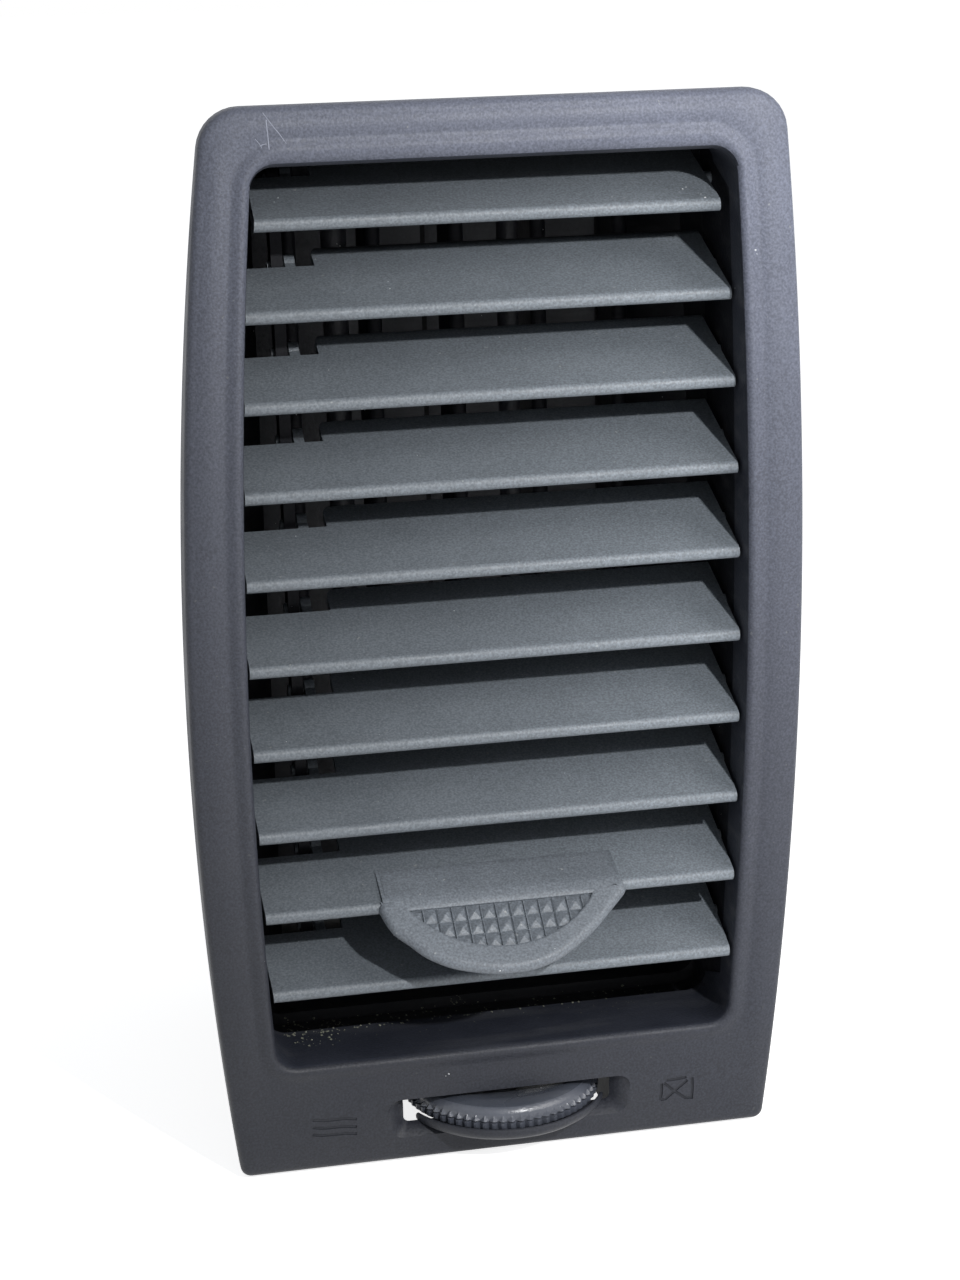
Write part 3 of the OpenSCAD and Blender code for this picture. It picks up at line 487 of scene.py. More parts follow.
def stroke(line, width, up, down):
    """A bar along image points on the face, from up mm in front of it to down mm behind."""
    points = [place(face_tree, x, y)[0] for x, y in line]
    rings = []
    for k, p in enumerate(points):
        along = (points[min(k + 1, len(points) - 1)] - points[max(k - 1, 0)]).normalized()
        side = along.cross(Vector((0, 1, 0))).normalized()*width/2*MM
        ahead, behind = Vector((0, -up, 0))*MM, Vector((0, down, 0))*MM
        rings.append([p - side + ahead, p + side + ahead, p + side + behind, p - side + behind])
    return loft(rings, caps=True)


def joined(parts):
    """Verts and faces of several parts as one."""
    verts, faces = [], []
    for more_verts, more_faces in parts:
        start = len(verts)
        verts += more_verts
        faces += [tuple(start + i for i in f) for f in more_faces]
    return verts, faces


OPEN_SIGN = [[(312.5, y + 0.6), (323, y + 1.2), (334, y + 0.2), (345, y - 1.0), (357, y - 0.6)]
             for y in (1119.6, 1127.3, 1134.4)]
CLOSED_SIGN = [
    [(661.5, 1083.5), (661.5, 1091.5), (660.5, 1100.0)],
    [(666.5, 1080.5), (677.0, 1079.0), (686.5, 1077.0)],
    [(692.0, 1077.5), (692.3, 1088.0), (691.5, 1099.0)],
    [(664.0, 1083.0), (674.5, 1091.0), (685.5, 1098.0), (691.0, 1097.0)],
    [(660.5, 1100.0), (665.5, 1099.0), (675.5, 1090.0), (687.5, 1080.0)],
]
SIGN_W = 0.5
SIGN_DEPTH = 0.28
# Painted shade: a dark sheet at the bed of each groove, from this far behind the face to this far
SHADE_W = SIGN_W*0.96
SHADE_SPAN = (0.2, 0.34)
groove_shade_sheets = []
for line in OPEN_SIGN + CLOSED_SIGN:
    groove = make_object("groove", *stroke(line, SIGN_W, 0.6, SIGN_DEPTH), body=None)
    recalc(groove)
    groove_shade_sheets.append(stroke(line, SHADE_W, -SHADE_SPAN[0], SHADE_SPAN[1]))
    cut(bezel, groove)
sign_shade_sheet = make_object("sign_shade", *joined(groove_shade_sheets))
recalc(sign_shade_sheet)
shade(bezel)

# Pairs of bosses behind the face: x, z, radius and rear end, and radius and depth of the
# pilot hole. The second pair takes the frame screws.
low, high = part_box("frame_screws")
BOSSES = ((36.5, -76.5, 3.4, 8.0, 1.6, 9.0),
          (28.0, (low.z + high.z)/2/MM, 2.6, 4.0, 1.05, 5.0))
# Radius that stands for a point on an axis, in turned shapes
AXIS_R = 0.02


def boss(x, z, r, rear, hole_r, hole_l, steps=28):
    """A boss from inside the face to its rear end, with the blind hole in that end."""
    front = face_y(z) + 1.0
    section = [(AXIS_R, front), (r, front), (r, rear - 0.3), (r - 0.3, rear),
               (hole_r + 0.25, rear), (hole_r, rear - 0.25), (hole_r, rear - hole_l + 0.4),
               (AXIS_R, rear - hole_l)]
    rings = []
    for radius, y in section:
        rings.append([Vector((x + radius*math.cos(math.tau*k/steps), y,
                              z + radius*math.sin(math.tau*k/steps)))*MM for k in range(steps)])
    return loft(rings)


rear_bosses = make_object("rear_bosses", *joined(
    [boss(s*x, *rest) for x, *rest in BOSSES for s in (-1, 1)]))
recalc(rear_bosses)
shade(rear_bosses)

# -------------------- tab of the ninth louver

TAB_INDEX = 9
REST_TILT = math.radians(20)
TAB_DROOP = math.radians(15)
# From a louver's pivot to the axis of its rounded nose
LOUVER_FRONT = 11.5
HUB_R = 1.9
NOSE_R = 1.1
# Half the stretch over which the tab bends down
BEND_HALF = 0.8
TAB_T = 2.2
PAD_DEPTH = 0.6
TAB_R = 20.8
TAB_REACH = 13.2
# How far the half-moon stands above the louver, where the saddle holds it
TAB_RAISE = 0.4
TAB_X = -0.8
PAD_R = 17.9
# From the nose's axis to the pad
PAD_FROM = 2.2
LOUVER_PITCH = 13.55
TOP_NOSE_Z = 67.2
# How far the noses stand behind the face at mid height, and how much more at the top
NOSE_SETBACK = 2.8
SETBACK_SLOPE = 3.5


def nose_place(i):
    """Depth and height of louver i's nose at rest."""
    z = TOP_NOSE_Z - (i - 1)*LOUVER_PITCH
    return face_y(z) + NOSE_SETBACK + SETBACK_SLOPE*z/HALF_H, z


def on_tab(x, ahead, up):
    """A place on the tab: across, ahead of the nose's axis, and above its middle."""
    t = min(1.0, max(0.0, (ahead + BEND_HALF)/(2*BEND_HALF)))
    bend = TAB_DROOP*t*t*(3 - 2*t)
    u, w = -LOUVER_FRONT + NOSE_R, HUB_R - NOSE_R + TAB_RAISE
    if ahead > 0:
        u -= ahead*math.cos(TAB_DROOP)
        w -= ahead*math.sin(TAB_DROOP)
    else:
        u -= ahead
    u -= up*math.sin(bend)
    w += up*math.cos(bend)
    nose_y, nose_z = nose_place(TAB_INDEX)
    pivot_y = nose_y + LOUVER_FRONT*math.cos(REST_TILT)
    pivot_z = nose_z + LOUVER_FRONT*math.sin(REST_TILT)
    return Vector((x, pivot_y + u*math.cos(REST_TILT) - w*math.sin(REST_TILT),
                   pivot_z + u*math.sin(REST_TILT) + w*math.cos(REST_TILT)))*MM


def tab_plan(p):
    """Across and ahead, in millimetres, of a point on the tab's middle plane."""
    origin = on_tab(0, 0, 0)
    step = on_tab(0, 10, 0) - origin
    return p.x/MM, (p - origin).dot(step.normalized())/MM


# The bend is only for places near the nose, so this plane runs on straight
forward = (on_tab(0, 10, 0) - on_tab(0, 0, 0)).normalized()
corners = [on_tab(x, 0, 0) + forward*d*MM
           for x, d in ((-60, -30), (60, -30), (60, 40), (-60, 40))]
tab_tree = BVHTree.FromPolygons(corners, [(0, 1, 2, 3)])

# Lower edge of the tab in the photo, from the left root round to the right root
TAB_LINE = [(380, 913.5), (393, 933), (410, 945.5), (427, 957.5), (450, 967), (473, 971.5),
            (500, 973.5), (527, 970.5), (547, 964.5), (567, 953.5), (593, 931), (608, 913),
            (617, 902), (624, 893)]
# How far inside that line the middle of the rounded edge runs
EDGE_PX = 6.0


def smooth_line(points, per):
    """A smooth curve through points, per steps to a span."""
    out = []
    last = len(points) - 1
    for k in range(last):
        a, b = points[max(k - 1, 0)], points[k]
        c, d = points[k + 1], points[min(k + 2, last)]
        for n in range(per):
            t = n/per
            out.append(tuple(0.5*(2*b[i] + (c[i] - a[i])*t
                                  + (2*a[i] - 5*b[i] + 4*c[i] - d[i])*t*t
                                  + (3*b[i] - a[i] - 3*c[i] + d[i])*t**3) for i in (0, 1)))
    out.append(points[last])
    return out


def inset_line(points, amount):
    """The line moved to the left of its travel, which is into the tab."""
    out = []
    for k, p in enumerate(points):
        a, b = points[max(k - 1, 0)], points[min(k + 1, len(points) - 1)]
        dx, dy = b[0] - a[0], b[1] - a[1]
        size = math.hypot(dx, dy)
        out.append((p[0] + dy/size*amount, p[1] - dx/size*amount))
    return out


edge_line = [tab_plan(place(tab_tree, x, y)[0])
             for x, y in inset_line(smooth_line(TAB_LINE, 5), EDGE_PX)]
# The plateau behind the half-moon, which covers the saddle: its rear end
PLATEAU_BACK = -6.9
# Height of the plateau over the half-moon's plane, at the nose and at its rear end
PLATEAU_UP = 0.16
PLATEAU_END = -0.2
# Its sides, each a little to the right of its root
left_x = edge_line[0][0] + 0.3
right_x = edge_line[-1][0] + 0.2
PLATEAU_STEPS = 10
BACK_STEPS = 31


def pad_loop(count_front, count_back, grow):
    """The pad's outline, left corner round the arc to the right corner, then back along the top."""
    start = PAD_FROM - grow
    centre = TAB_REACH - TAB_R
    r = PAD_R + grow
    half = math.acos((start - centre)/r)
    loop = []
    for k in range(count_front):
        a = -half + 2*half*k/(count_front - 1)
        loop.append((TAB_X + r*math.sin(a), centre + r*math.cos(a)))
    x0, x1 = loop[-1][0], loop[0][0]
    for k in range(1, count_back + 1):
        loop.append((x0 + (x1 - x0)*k/(count_back + 1), start))
    return loop


def plateau_loop():
    """Up the right side of the plateau, along its rear end and down its left side."""
    back = [(right_x, PLATEAU_BACK*k/PLATEAU_STEPS, 1.0) for k in range(1, PLATEAU_STEPS + 1)]
    back += [(right_x + (left_x - right_x)*k/BACK_STEPS, PLATEAU_BACK, 1.0)
             for k in range(1, BACK_STEPS)]
    back += [(left_x, PLATEAU_BACK*(1 - k/PLATEAU_STEPS), 1.0) for k in range(PLATEAU_STEPS)]
    return back


def outward(loop, front):
    """A unit vector out of the loop at each point; the one at front points ahead."""
    found = []
    for k in range(len(loop)):
        a, b = loop[k - 1], loop[(k + 1) % len(loop)]
        dx, dy = b[0] - a[0], b[1] - a[1]
        size = math.hypot(dx, dy) or 1.0
        found.append((-dy/size, dx/size))
    if found[front][1] < 0:
        found = [(-a, -b) for a, b in found]
    return found


# The tab's outline: across, ahead, and 1 on the plateau or 0 on the half-moon's own edge
front_loop = [(x, d, 0.0) for x, d in edge_line]
back_loop = plateau_loop()
outer = front_loop + back_loop
normals = outward(outer, len(front_loop)//2)


def lift(ahead):
    """Height of the tab's top over the half-moon's plane."""
    if ahead < 0:
        return PLATEAU_UP + (PLATEAU_END - PLATEAU_UP)*min(1.0, ahead/PLATEAU_BACK)
    return PLATEAU_UP


PAD_CHAMFER = (0.2, 0.16)
# Width of the rounded rim outside the flat top
RIM_W = 0.9
TAB_TOP_STEPS = 8
ROUND_STEPS = 10
# Tuck of the rim's lower side, at the roots and more between them, over this many points
TUCK = (0.6, 2.4, 14)
# The plateau's edge: how far it flares, falls and goes down
SKIRT = (0.3, 0.4, 0.8)


def tab_rings():
    """Closed loops from the pad's wall over the top, round the edge and under it."""
    rings = []
    count_front, count_back = len(front_loop), len(back_loop)
    half_t = TAB_T/2
    inner = pad_loop(count_front, count_back, 0.0)
    wide = pad_loop(count_front, count_back, PAD_CHAMFER[0])
    rings.append([on_tab(x, d, half_t - PAD_DEPTH - 0.05) for x, d in inner])
    rings.append([on_tab(x, d, half_t + PLATEAU_UP - PAD_CHAMFER[1]) for x, d in inner])
    rings.append([on_tab(x, d, half_t + PLATEAU_UP) for x, d in wide])
    inward = [(p[0] - n[0]*RIM_W*(1 - p[2]), p[1] - n[1]*RIM_W*(1 - p[2]))
              for p, n in zip(outer, normals)]
    for k in range(1, TAB_TOP_STEPS + 1):
        t = k/TAB_TOP_STEPS
        ring = []
        for (ax, ad), (bx, bd) in zip(wide, inward):
            d = ad + (bd - ad)*t
            ring.append(on_tab(ax + (bx - ax)*t, d, half_t + lift(d)))
        rings.append(ring)
    for k in range(ROUND_STEPS + 1):
        a = math.pi/2 - math.pi*k/ROUND_STEPS
        ring = []
        for p, n in zip(outer, normals):
            if p[2] < 0.5:
                reach = NOSE_R*math.cos(a)
                up = PLATEAU_UP/2 + (half_t + PLATEAU_UP/2)*math.sin(a)
            else:
                reach = SKIRT[0]*k/ROUND_STEPS
                up = half_t + lift(p[1]) - SKIRT[1]*(k/ROUND_STEPS)**2
            ring.append(on_tab(p[0] + n[0]*reach, p[1] + n[1]*reach, up))
        rings.append(ring)
    ring = []
    for k, (p, n) in enumerate(zip(outer, normals)):
        if p[2] < 0.5:
            # Less far in at the roots, where the edge bends back on itself
            amount = TUCK[0] + TUCK[1]*min(1.0, min(k, count_front - 1 - k)/TUCK[2])
            ring.append(on_tab(p[0] - n[0]*amount, p[1] - n[1]*amount, -half_t - 0.04))
        else:
            ring.append(on_tab(p[0] + n[0]*0.2, p[1] + n[1]*0.2,
                               half_t + lift(p[1]) - SKIRT[2]))
    rings.append(ring)
    return rings


tab_top = make_object("tab_top", *loft(tab_rings()), body="finger_tab")
recalc(tab_top)
shade(tab_top, 50)

# The tab's saddle, arm and fork, without the sharp rim of its half-moon
tab_body = NODES["finger_tab"].copy()
tab_body.data = NODES["finger_tab"].data.copy()
tab_body.name = "finger_tab_body"
bpy.context.scene.collection.objects.link(tab_body)
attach(tab_body, "finger_tab")
tab_body.hide_render = False
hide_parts("finger_tab")

# The saddle reaches this far ahead of the nose's axis
SADDLE_NOSE = 1.7
# What is left of the half-moon's radius, and the room round its pad
CORE_R = TAB_R - 1.4
PAD_ROOM = 0.12


def rim_cutter():
    """Everything ahead of the saddle outside the tab's inner radius."""
    arc = []
    for k in range(49):
        a = math.radians(-88 + 176*k/48)
        arc.append((TAB_X + CORE_R*math.sin(a), TAB_REACH - TAB_R + CORE_R*math.cos(a)))
    ring = [(-24.0, SADDLE_NOSE)] + [p for p in arc if p[1] > SADDLE_NOSE]
    ring += [(24.0, SADDLE_NOSE), (24.0, 18.0), (-24.0, 18.0)]
    return solid([[on_tab(x, d, up) for x, d in ring] for up in (-TAB_T, TAB_T)])


def pad_cutter():
    """Room for the knurl in the top of the half-moon."""
    loop = pad_loop(48, 24, PAD_ROOM)
    return solid([[on_tab(x, d, up) for x, d in loop]
                  for up in (TAB_T/2 - PAD_DEPTH - PAD_ROOM, 3.0)])


cut(tab_body, rim_cutter())
cut(tab_body, pad_cutter())
shade(tab_body, 35)

# Cells across the pad's full width, and from its flat side to its tip
KNURL_CELLS = (15.2, 3)
KNURL_HALF_W = 16.2
KNURL_L = 8.2
KNURL_FROM = PAD_FROM - 0.1


def knurl_up(x, d):
    """Height in the pad: a small pyramid in each cell and thin ribs between them."""
    pitch_x = 2*PAD_R/KNURL_CELLS[0]
    pitch_d = (PAD_R + TAB_REACH - TAB_R - PAD_FROM)/KNURL_CELLS[1]
    fx = ((x - TAB_X)/pitch_x + 0.5) % 1.0
    fd = ((d - PAD_FROM)/pitch_d) % 1.0
    pyramid = max(0.0, 1 - 2.25*max(abs(fx - 0.5), abs(fd - 0.5)))*0.62
    rib = max(0.0, 1 - min(fx, 1 - fx)*pitch_x/0.16)*0.5
    cross = max(0.0, 1 - min(fd, 1 - fd)*pitch_d/0.14)*0.36
    return TAB_T/2 - PAD_DEPTH + 0.02 + max(pyramid, rib, cross)


def knurl():
    """A fine sheet over the pad, cut off just outside its arc."""
    columns, rows = 270, 64

    def spot(c, r):
        return TAB_X - KNURL_HALF_W + 2*KNURL_HALF_W*c/columns, KNURL_FROM + KNURL_L*r/rows

    places = [spot(c, r) for r in range(rows + 1) for c in range(columns + 1)]
    verts = [on_tab(x, d, knurl_up(x, d)) for x, d in places]
    faces = []
    for r in range(rows):
        for c in range(columns):
            a = r*(columns + 1) + c
            x, d = spot(c + 0.5, r + 0.5)
            if math.hypot(x - TAB_X, d - TAB_REACH + TAB_R) < PAD_R + 0.25:
                faces.append((a, a + 1, a + columns + 2, a + columns + 1))
    return verts, faces


tab_knurl = make_object("tab_knurl", *knurl(), body="finger_tab")
shade(tab_knurl, 20)

# -------------------- thumbwheel

WHEEL_R = 16.8
WHEEL_T = 4.2
WHEEL_TOP = -75.0
WHEEL_TEETH = 68
TOOTH_H = 0.75
# Groove between the two rows of teeth: its height and half its width
GROOVE_UP = 1.35
GROOVE_HALF_W = 0.14
# Heights of the rim's rings, then radius and height of the rings of the hub and the dish
RIM_UPS = (0.0, 0.3, 0.5, 0.9, 1.2, 1.22, 1.48, 1.5, 1.7, 1.9, 2.1, 2.3)
HUB_RINGS = ((1.0, 0.0), (4.2, 0.0), (13.0, 0.0))
DISH_RINGS = ((15.98, 2.55), (15.85, 2.8), (15.6, 3.15), (15.2, 3.5), (14.7, 3.78),
              (14.1, 3.96), (13.4, 4.05), (12.6, 4.0), (11.6, 3.82), (10.4, 3.55), (9.0, 3.3),
              (7.2, 3.12), (5.2, 3.05), (4.25, 3.05), (4.2, 4.0), (4.0, 4.1), (1.0, 4.1))


def wheel_radius(turn, up):
    """Radius of the rim at an angle and at a height above its lower side: bars in the
    lower row, triangles in the upper row and a smooth band over them."""
    ridge = abs((turn/math.tau*WHEEL_TEETH) % 1.0 - 0.5)*2
    narrow = max(0.0, up - 1.5)/0.9
    tooth = WHEEL_R - TOOTH_H*min(1.0, 1 - ridge + narrow)
    top_slope = WHEEL_R - 0.2 - max(0.0, up - 1.9)*1.35
    low_slope = WHEEL_R + 0.1 - max(0.0, 0.45 - up)*1.6
    if abs(up - GROOVE_UP) < GROOVE_HALF_W:
        return WHEEL_R - TOOTH_H - 0.1
    return min(tooth, top_slope, low_slope)


def wheel_mesh():
    """The wheel, from its hub's lower edge out over the rim and back over the dish."""
    turns = [math.tau*k/(WHEEL_TEETH*8) for k in range(WHEEL_TEETH*8)]
    base = WHEEL_TOP - WHEEL_T

    def ring(up, radius):
        return [Vector((WHEEL_X + radius(a)*math.cos(a), WHEEL_Y + radius(a)*math.sin(a),
                        base + up))*MM for a in turns]

    rings = [ring(up, lambda a, r=r: r) for r, up in HUB_RINGS]
    rings += [ring(up, lambda a, up=up: wheel_radius(a, up)) for up in RIM_UPS]
    rings += [ring(up, lambda a, r=r: r) for r, up in DISH_RINGS]
    return loft(rings, closed_rings=True)


wheel = make_object("wheel_shell", *wheel_mesh(), body="thumbwheel")
recalc(wheel)
shade(wheel, 28)
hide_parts("thumbwheel")

# The pin that the damper link hangs on: its distance and turn from the wheel's axis
PIN_ARM = 7
PIN_TURN = math.radians(130)
pin_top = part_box("thumbwheel")[1].z/MM


def pin_solid(x, y, r, low, high, steps=20):
    """An upright pin with its upper edge chamfered."""
    rings = [[Vector((x + q*math.cos(math.tau*k/steps), y + q*math.sin(math.tau*k/steps), z))*MM
              for k in range(steps)]
             for q, z in ((0.01, low), (r, low), (r, high - 0.2), (r - 0.2, high), (0.01, high))]
    return loft(rings)


pin_x = WHEEL_X + PIN_ARM*math.cos(PIN_TURN)
pin_y = WHEEL_Y + PIN_ARM*math.sin(PIN_TURN)
wheel_pin = make_object("wheel_pin", *joined([
    pin_solid(pin_x, pin_y, 2.1, WHEEL_TOP - 2.3, WHEEL_TOP + 0.2),
    pin_solid(pin_x, pin_y, 1.2, WHEEL_TOP - 1.0, pin_top)]), body="thumbwheel")
recalc(wheel_pin)
shade(wheel_pin)


# -------------------- wear and dust

BODY_OF = {node: body for body, held in frame["record"]["behaviour"]["bodies"].items()
           for node in held}
# What can be seen, with its body
shown_now = [(bezel, "frame"), (tab_top, "finger_tab"), (wheel, "thumbwheel")]
shown_now += [(o, BODY_OF[n]) for n, o in NODES.items()
              if n not in ("bezel", "thumbwheel", "finger_tab")]
shown_now.append((tab_body, "finger_tab"))
whole_tree = tree_of(*[o for o, _ in shown_now])
owners = [body for o, body in shown_now for _ in o.data.polygons]


def flake(point, normal, size):
    """A small irregular crumb lying on a surface."""
    side = normal.cross(Vector((0.3, 0.2, 0.9))).normalized()
    other = normal.cross(side)
    corners = 7
    ring = []
    start = RANDOM.random()*math.tau
    stretch = RANDOM.uniform(0.5, 1.0)
    for k in range(corners):
        a = start + math.tau*k/corners
        r = size/2*RANDOM.uniform(0.6, 1.1)*MM
        ring.append(point + side*(r*math.cos(a)) + other*(r*stretch*math.sin(a)))
    peak = point + normal*(size*0.28*MM)
    under = point - normal*(size*0.1*MM)
    verts = ring + [peak, under]
    faces = [(k, (k + 1) % corners, corners) for k in range(corners)]
    faces += [((k + 1) % corners, k, corners + 1) for k in range(corners)]
    return verts, faces


def crumbs(name, spots):
    """Crumbs at image points, in one piece for each body they lie on."""
    held = {}
    for x, y, size in spots:
        origin, direction = ray_through(x, y)
        if whole_tree.ray_cast(origin, direction)[0] is None:
            continue
        point, normal, index = place(whole_tree, x, y)
        held.setdefault(owners[index], []).append(flake(point, normal, size))
    made = []
    for body, parts in sorted(held.items()):
        obj = make_object(name + "_" + body, *joined(parts), body=body)
        recalc(obj)
        made.append(obj)
    return made


PALE_SPOTS = [(682.5, 189, 0.42), (686, 187, 0.3), (679, 192, 0.22), (705, 197.5, 0.45),
              (701, 194, 0.28), (698, 193, 0.2), (627, 187, 0.2), (612, 197, 0.22),
              (315, 259, 0.24), (340, 246, 0.34), (337, 244, 0.2), (278, 198, 0.34),
              (274, 202, 0.2), (253.7, 331, 0.26), (328.7, 370, 0.26), (365, 410, 0.4),
              (362, 409, 0.24), (735, 288, 0.22), (755.5, 250, 0.36), (757, 254, 0.24),
              (449, 1074, 0.38), (446, 1076, 0.22), (394, 935, 0.42), (398, 939, 0.26),
              (500, 971, 0.34), (503, 970, 0.22), (541, 1088, 0.26)]
for _ in range(85):
    PALE_SPOTS.append((RANDOM.uniform(258, 726), RANDOM.uniform(170, 985),
                       RANDOM.choice((0.1, 0.12, 0.14, 0.18, 0.24))))
# Dirt lies on the sill, whose front line in the photo starts at this x and slopes up
SILL_PX = 287
SILL_SLOPE = 0.1188
DIRT_SPOTS = []
for _ in range(150):
    x = SILL_PX + 375*RANDOM.random()**1.5
    y = 1036.5 - SILL_SLOPE*(x - SILL_PX) - 13*RANDOM.random()**2.2
    DIRT_SPOTS.append((x, y, RANDOM.uniform(0.16, 0.6)))
for _ in range(60):
    DIRT_SPOTS.append((RANDOM.uniform(283, 345), RANDOM.uniform(1018, 1046),
                       RANDOM.uniform(0.16, 0.65)))
for _ in range(16):
    DIRT_SPOTS.append((RANDOM.gauss(458, 5), RANDOM.gauss(1002, 3), RANDOM.uniform(0.15, 0.5)))
for _ in range(40):
    x = RANDOM.uniform(300, 690)
    DIRT_SPOTS.append((x, 1050 - SILL_SLOPE*(x - SILL_PX) - RANDOM.uniform(0, 10),
                       RANDOM.uniform(0.08, 0.2)))
pale_crumbs = crumbs("lint", PALE_SPOTS)
dirt_crumbs = crumbs("dirt", DIRT_SPOTS)

# Image points along each scratch, and its width
SCRATCHES = [([(262.5, 112.5), (267.0, 118.5), (273.5, 127.0), (279.0, 133.5),
               (284.0, 140.5)], 0.12),
             ([(266.0, 119.5), (266.8, 128.0), (268.0, 138.0), (269.2, 149.5)], 0.15),
             ([(259.5, 146.2), (263.0, 144.6), (266.5, 144.0)], 0.10),
             ([(255.0, 139.0), (259.0, 143.5), (262.0, 148.0)], 0.08),
             ([(283.0, 139.0), (286.5, 143.5)], 0.07)]
scratches = make_object("scratches", *joined([stroke(smooth_line(line, 6), width, 0.03, 0.05)
                                              for line, width in SCRATCHES]))
recalc(scratches)


# -------------------- materials

def srgb(r, g, b):
    """A colour from 0 to 255, as the linear values that a shader takes."""
    return tuple(((c/255 + 0.055)/1.055)**2.4 if c > 10 else c/255/12.92 for c in (r, g, b)) + (1,)


def tint(colour, scale, add=0.0):
    """The colour scaled and then raised."""
    return tuple(min(1, c*scale + add) for c in colour[:3]) + (1,)


def fill(tree, node, values):
    """Give inputs of a node their values, or link them to outputs."""
    for key, value in values.items():
        if isinstance(value, bpy.types.NodeSocket):
            tree.links.new(value, node.inputs[key])
        else:
            node.inputs[key].default_value = value


def add_node(tree, kind, values, output, **settings):
    """A new shader node with its settings and inputs; one of its outputs is returned."""
    node = tree.nodes.new("ShaderNode" + kind)
    for name, value in settings.items():
        setattr(node, name, value)
    fill(tree, node, values)
    return node.outputs[output]


def ranged(tree, value, low, high, to_low, to_high):
    return add_node(tree, "MapRange", {"Value": value, "From Min": low, "From Max": high,
                                       "To Min": to_low, "To Max": to_high}, "Result")


def mixed(tree, factor, a, b):
    return add_node(tree, "Mix", {"Factor": factor, "A": a, "B": b}, "Result",
                    data_type="RGBA")


def noise(tree, size_mm, detail=3.0, stretch=None):
    """Noise fixed to the object, with features of a size, stretched or not."""
    where = add_node(tree, "TexCoord", {}, "Object")
    if stretch:
        where = add_node(tree, "Mapping", {"Vector": where, "Scale": stretch}, "Vector")
    return add_node(tree, "TexNoise", {"Vector": where, "Scale": 1/(size_mm*MM),
                                       "Detail": detail}, "Fac")


def node_material(name):
    material = bpy.data.materials.new(name)
    material.use_nodes = True
    return material, material.node_tree


def moulded(name, colour, roughness=0.5, grain_mm=0.45, grain=0.35, specks=0.0, dust=0.12,
            coat=0.0, gloss=0.45, painted_light_gradient=None, painted_shade_depth=None):
    """Moulded plastic: fine grain, uneven gloss, a little dust and rubbed streaks.

    The next to last argument paints light and shade: a change of brightness across the part,
    as an exponent, given as its slope for each mm of x and of z, and its level. The last one
    paints shade: how deep in mm, measured along the line of the louvers' noses, the painted
    shade starts and is full."""
    material, tree = node_material(name)
    base = srgb(*colour)
    patch = ranged(tree, noise(tree, 18, 4), 0.36, 0.66, 0, 1)
    shown = mixed(tree, patch, tint(base, 0.86), tint(base, 1.16, 0.004))
    streak = ranged(tree, noise(tree, 5, 5, (0.22, 1, 2.2)), 0.5, 0.78, 0, dust*1.4)
    shown = mixed(tree, streak, shown, tint(base, 0.55, 0.16))
    fine = ranged(tree, noise(tree, grain_mm*0.8, 2), 0.35, 0.68, 0, 1)
    shown = mixed(tree, grain, shown, mixed(tree, fine, tint(base, 0.70), tint(base, 1.34)))
    if specks:
        speck = ranged(tree, noise(tree, 0.9, 1), 0.76, 0.80, 0, specks)
        shown = mixed(tree, speck, shown, srgb(176, 178, 176))
    where = add_node(tree, "TexCoord", {}, "Object")
    # Painted light and shade: the colour gets lighter or darker across the part, as the lamps fall
    # on it.
    if painted_light_gradient:
        slope = add_node(tree, "VectorMath", {0: where, 1: (painted_light_gradient[0]/MM, 0, painted_light_gradient[1]/MM)},
                         "Value", operation="DOT_PRODUCT")
        level = add_node(tree, "Math", {0: slope, 1: painted_light_gradient[2]}, "Value", operation="ADD")
        share = add_node(tree, "Math", {0: level}, "Value", operation="EXPONENT")
        painted_light_factor = add_node(tree, "Clamp", {"Value": share, "Min": 0.16, "Max": 1.0}, "Result")
        shown = add_node(tree, "VectorMath", {0: shown, "Scale": painted_light_factor}, "Vector",
                         operation="SCALE")
    # Painted shade: the colour gets darker towards the louvers' rears, where they and the pins
    # behind them lie in shade.
    if painted_shade_depth:
        behind = add_node(tree, "VectorMath",
                          {0: where, 1: (0, 1/MM, -SETBACK_SLOPE/HALF_H/MM)}, "Value",
                          operation="DOT_PRODUCT")
        painted_shade_factor = ranged(tree, behind, painted_shade_depth[0], painted_shade_depth[1], 1.0, 0.08)
        shown = add_node(tree, "VectorMath", {0: shown, "Scale": painted_shade_factor}, "Vector",
                         operation="SCALE")
    normal = add_node(tree, "Bump", {"Strength": 0.8, "Distance": 0.09*MM,
                                     "Height": noise(tree, grain_mm, 3)}, "Normal")
    fill(tree, tree.nodes["Principled BSDF"], {
        "Base Color": shown, "Normal": normal, "Specular IOR Level": gloss,
        "Coat Weight": coat, "Coat Roughness": 0.25,
        "Roughness": ranged(tree, noise(tree, 9, 4), 0.3, 0.7, roughness - 0.06,
                            roughness + 0.07)})
    return material


def brushed(name, colour, roughness=0.34):
    """Drawn or plated steel with fine lines."""
    material, tree = node_material(name)
    base = srgb(*colour)
    lines = noise(tree, 0.35, 4, (0.05, 1, 1))
    normal = add_node(tree, "Bump", {"Strength": 0.2, "Distance": 0.02*MM, "Height": lines},
                      "Normal")
    fill(tree, tree.nodes["Principled BSDF"], {
        "Base Color": mixed(tree, lines, tint(base, 0.72), base), "Normal": normal,
        "Metallic": 1.0,
        "Roughness": ranged(tree, lines, 0, 1, roughness - 0.1, roughness + 0.12)})
    return material


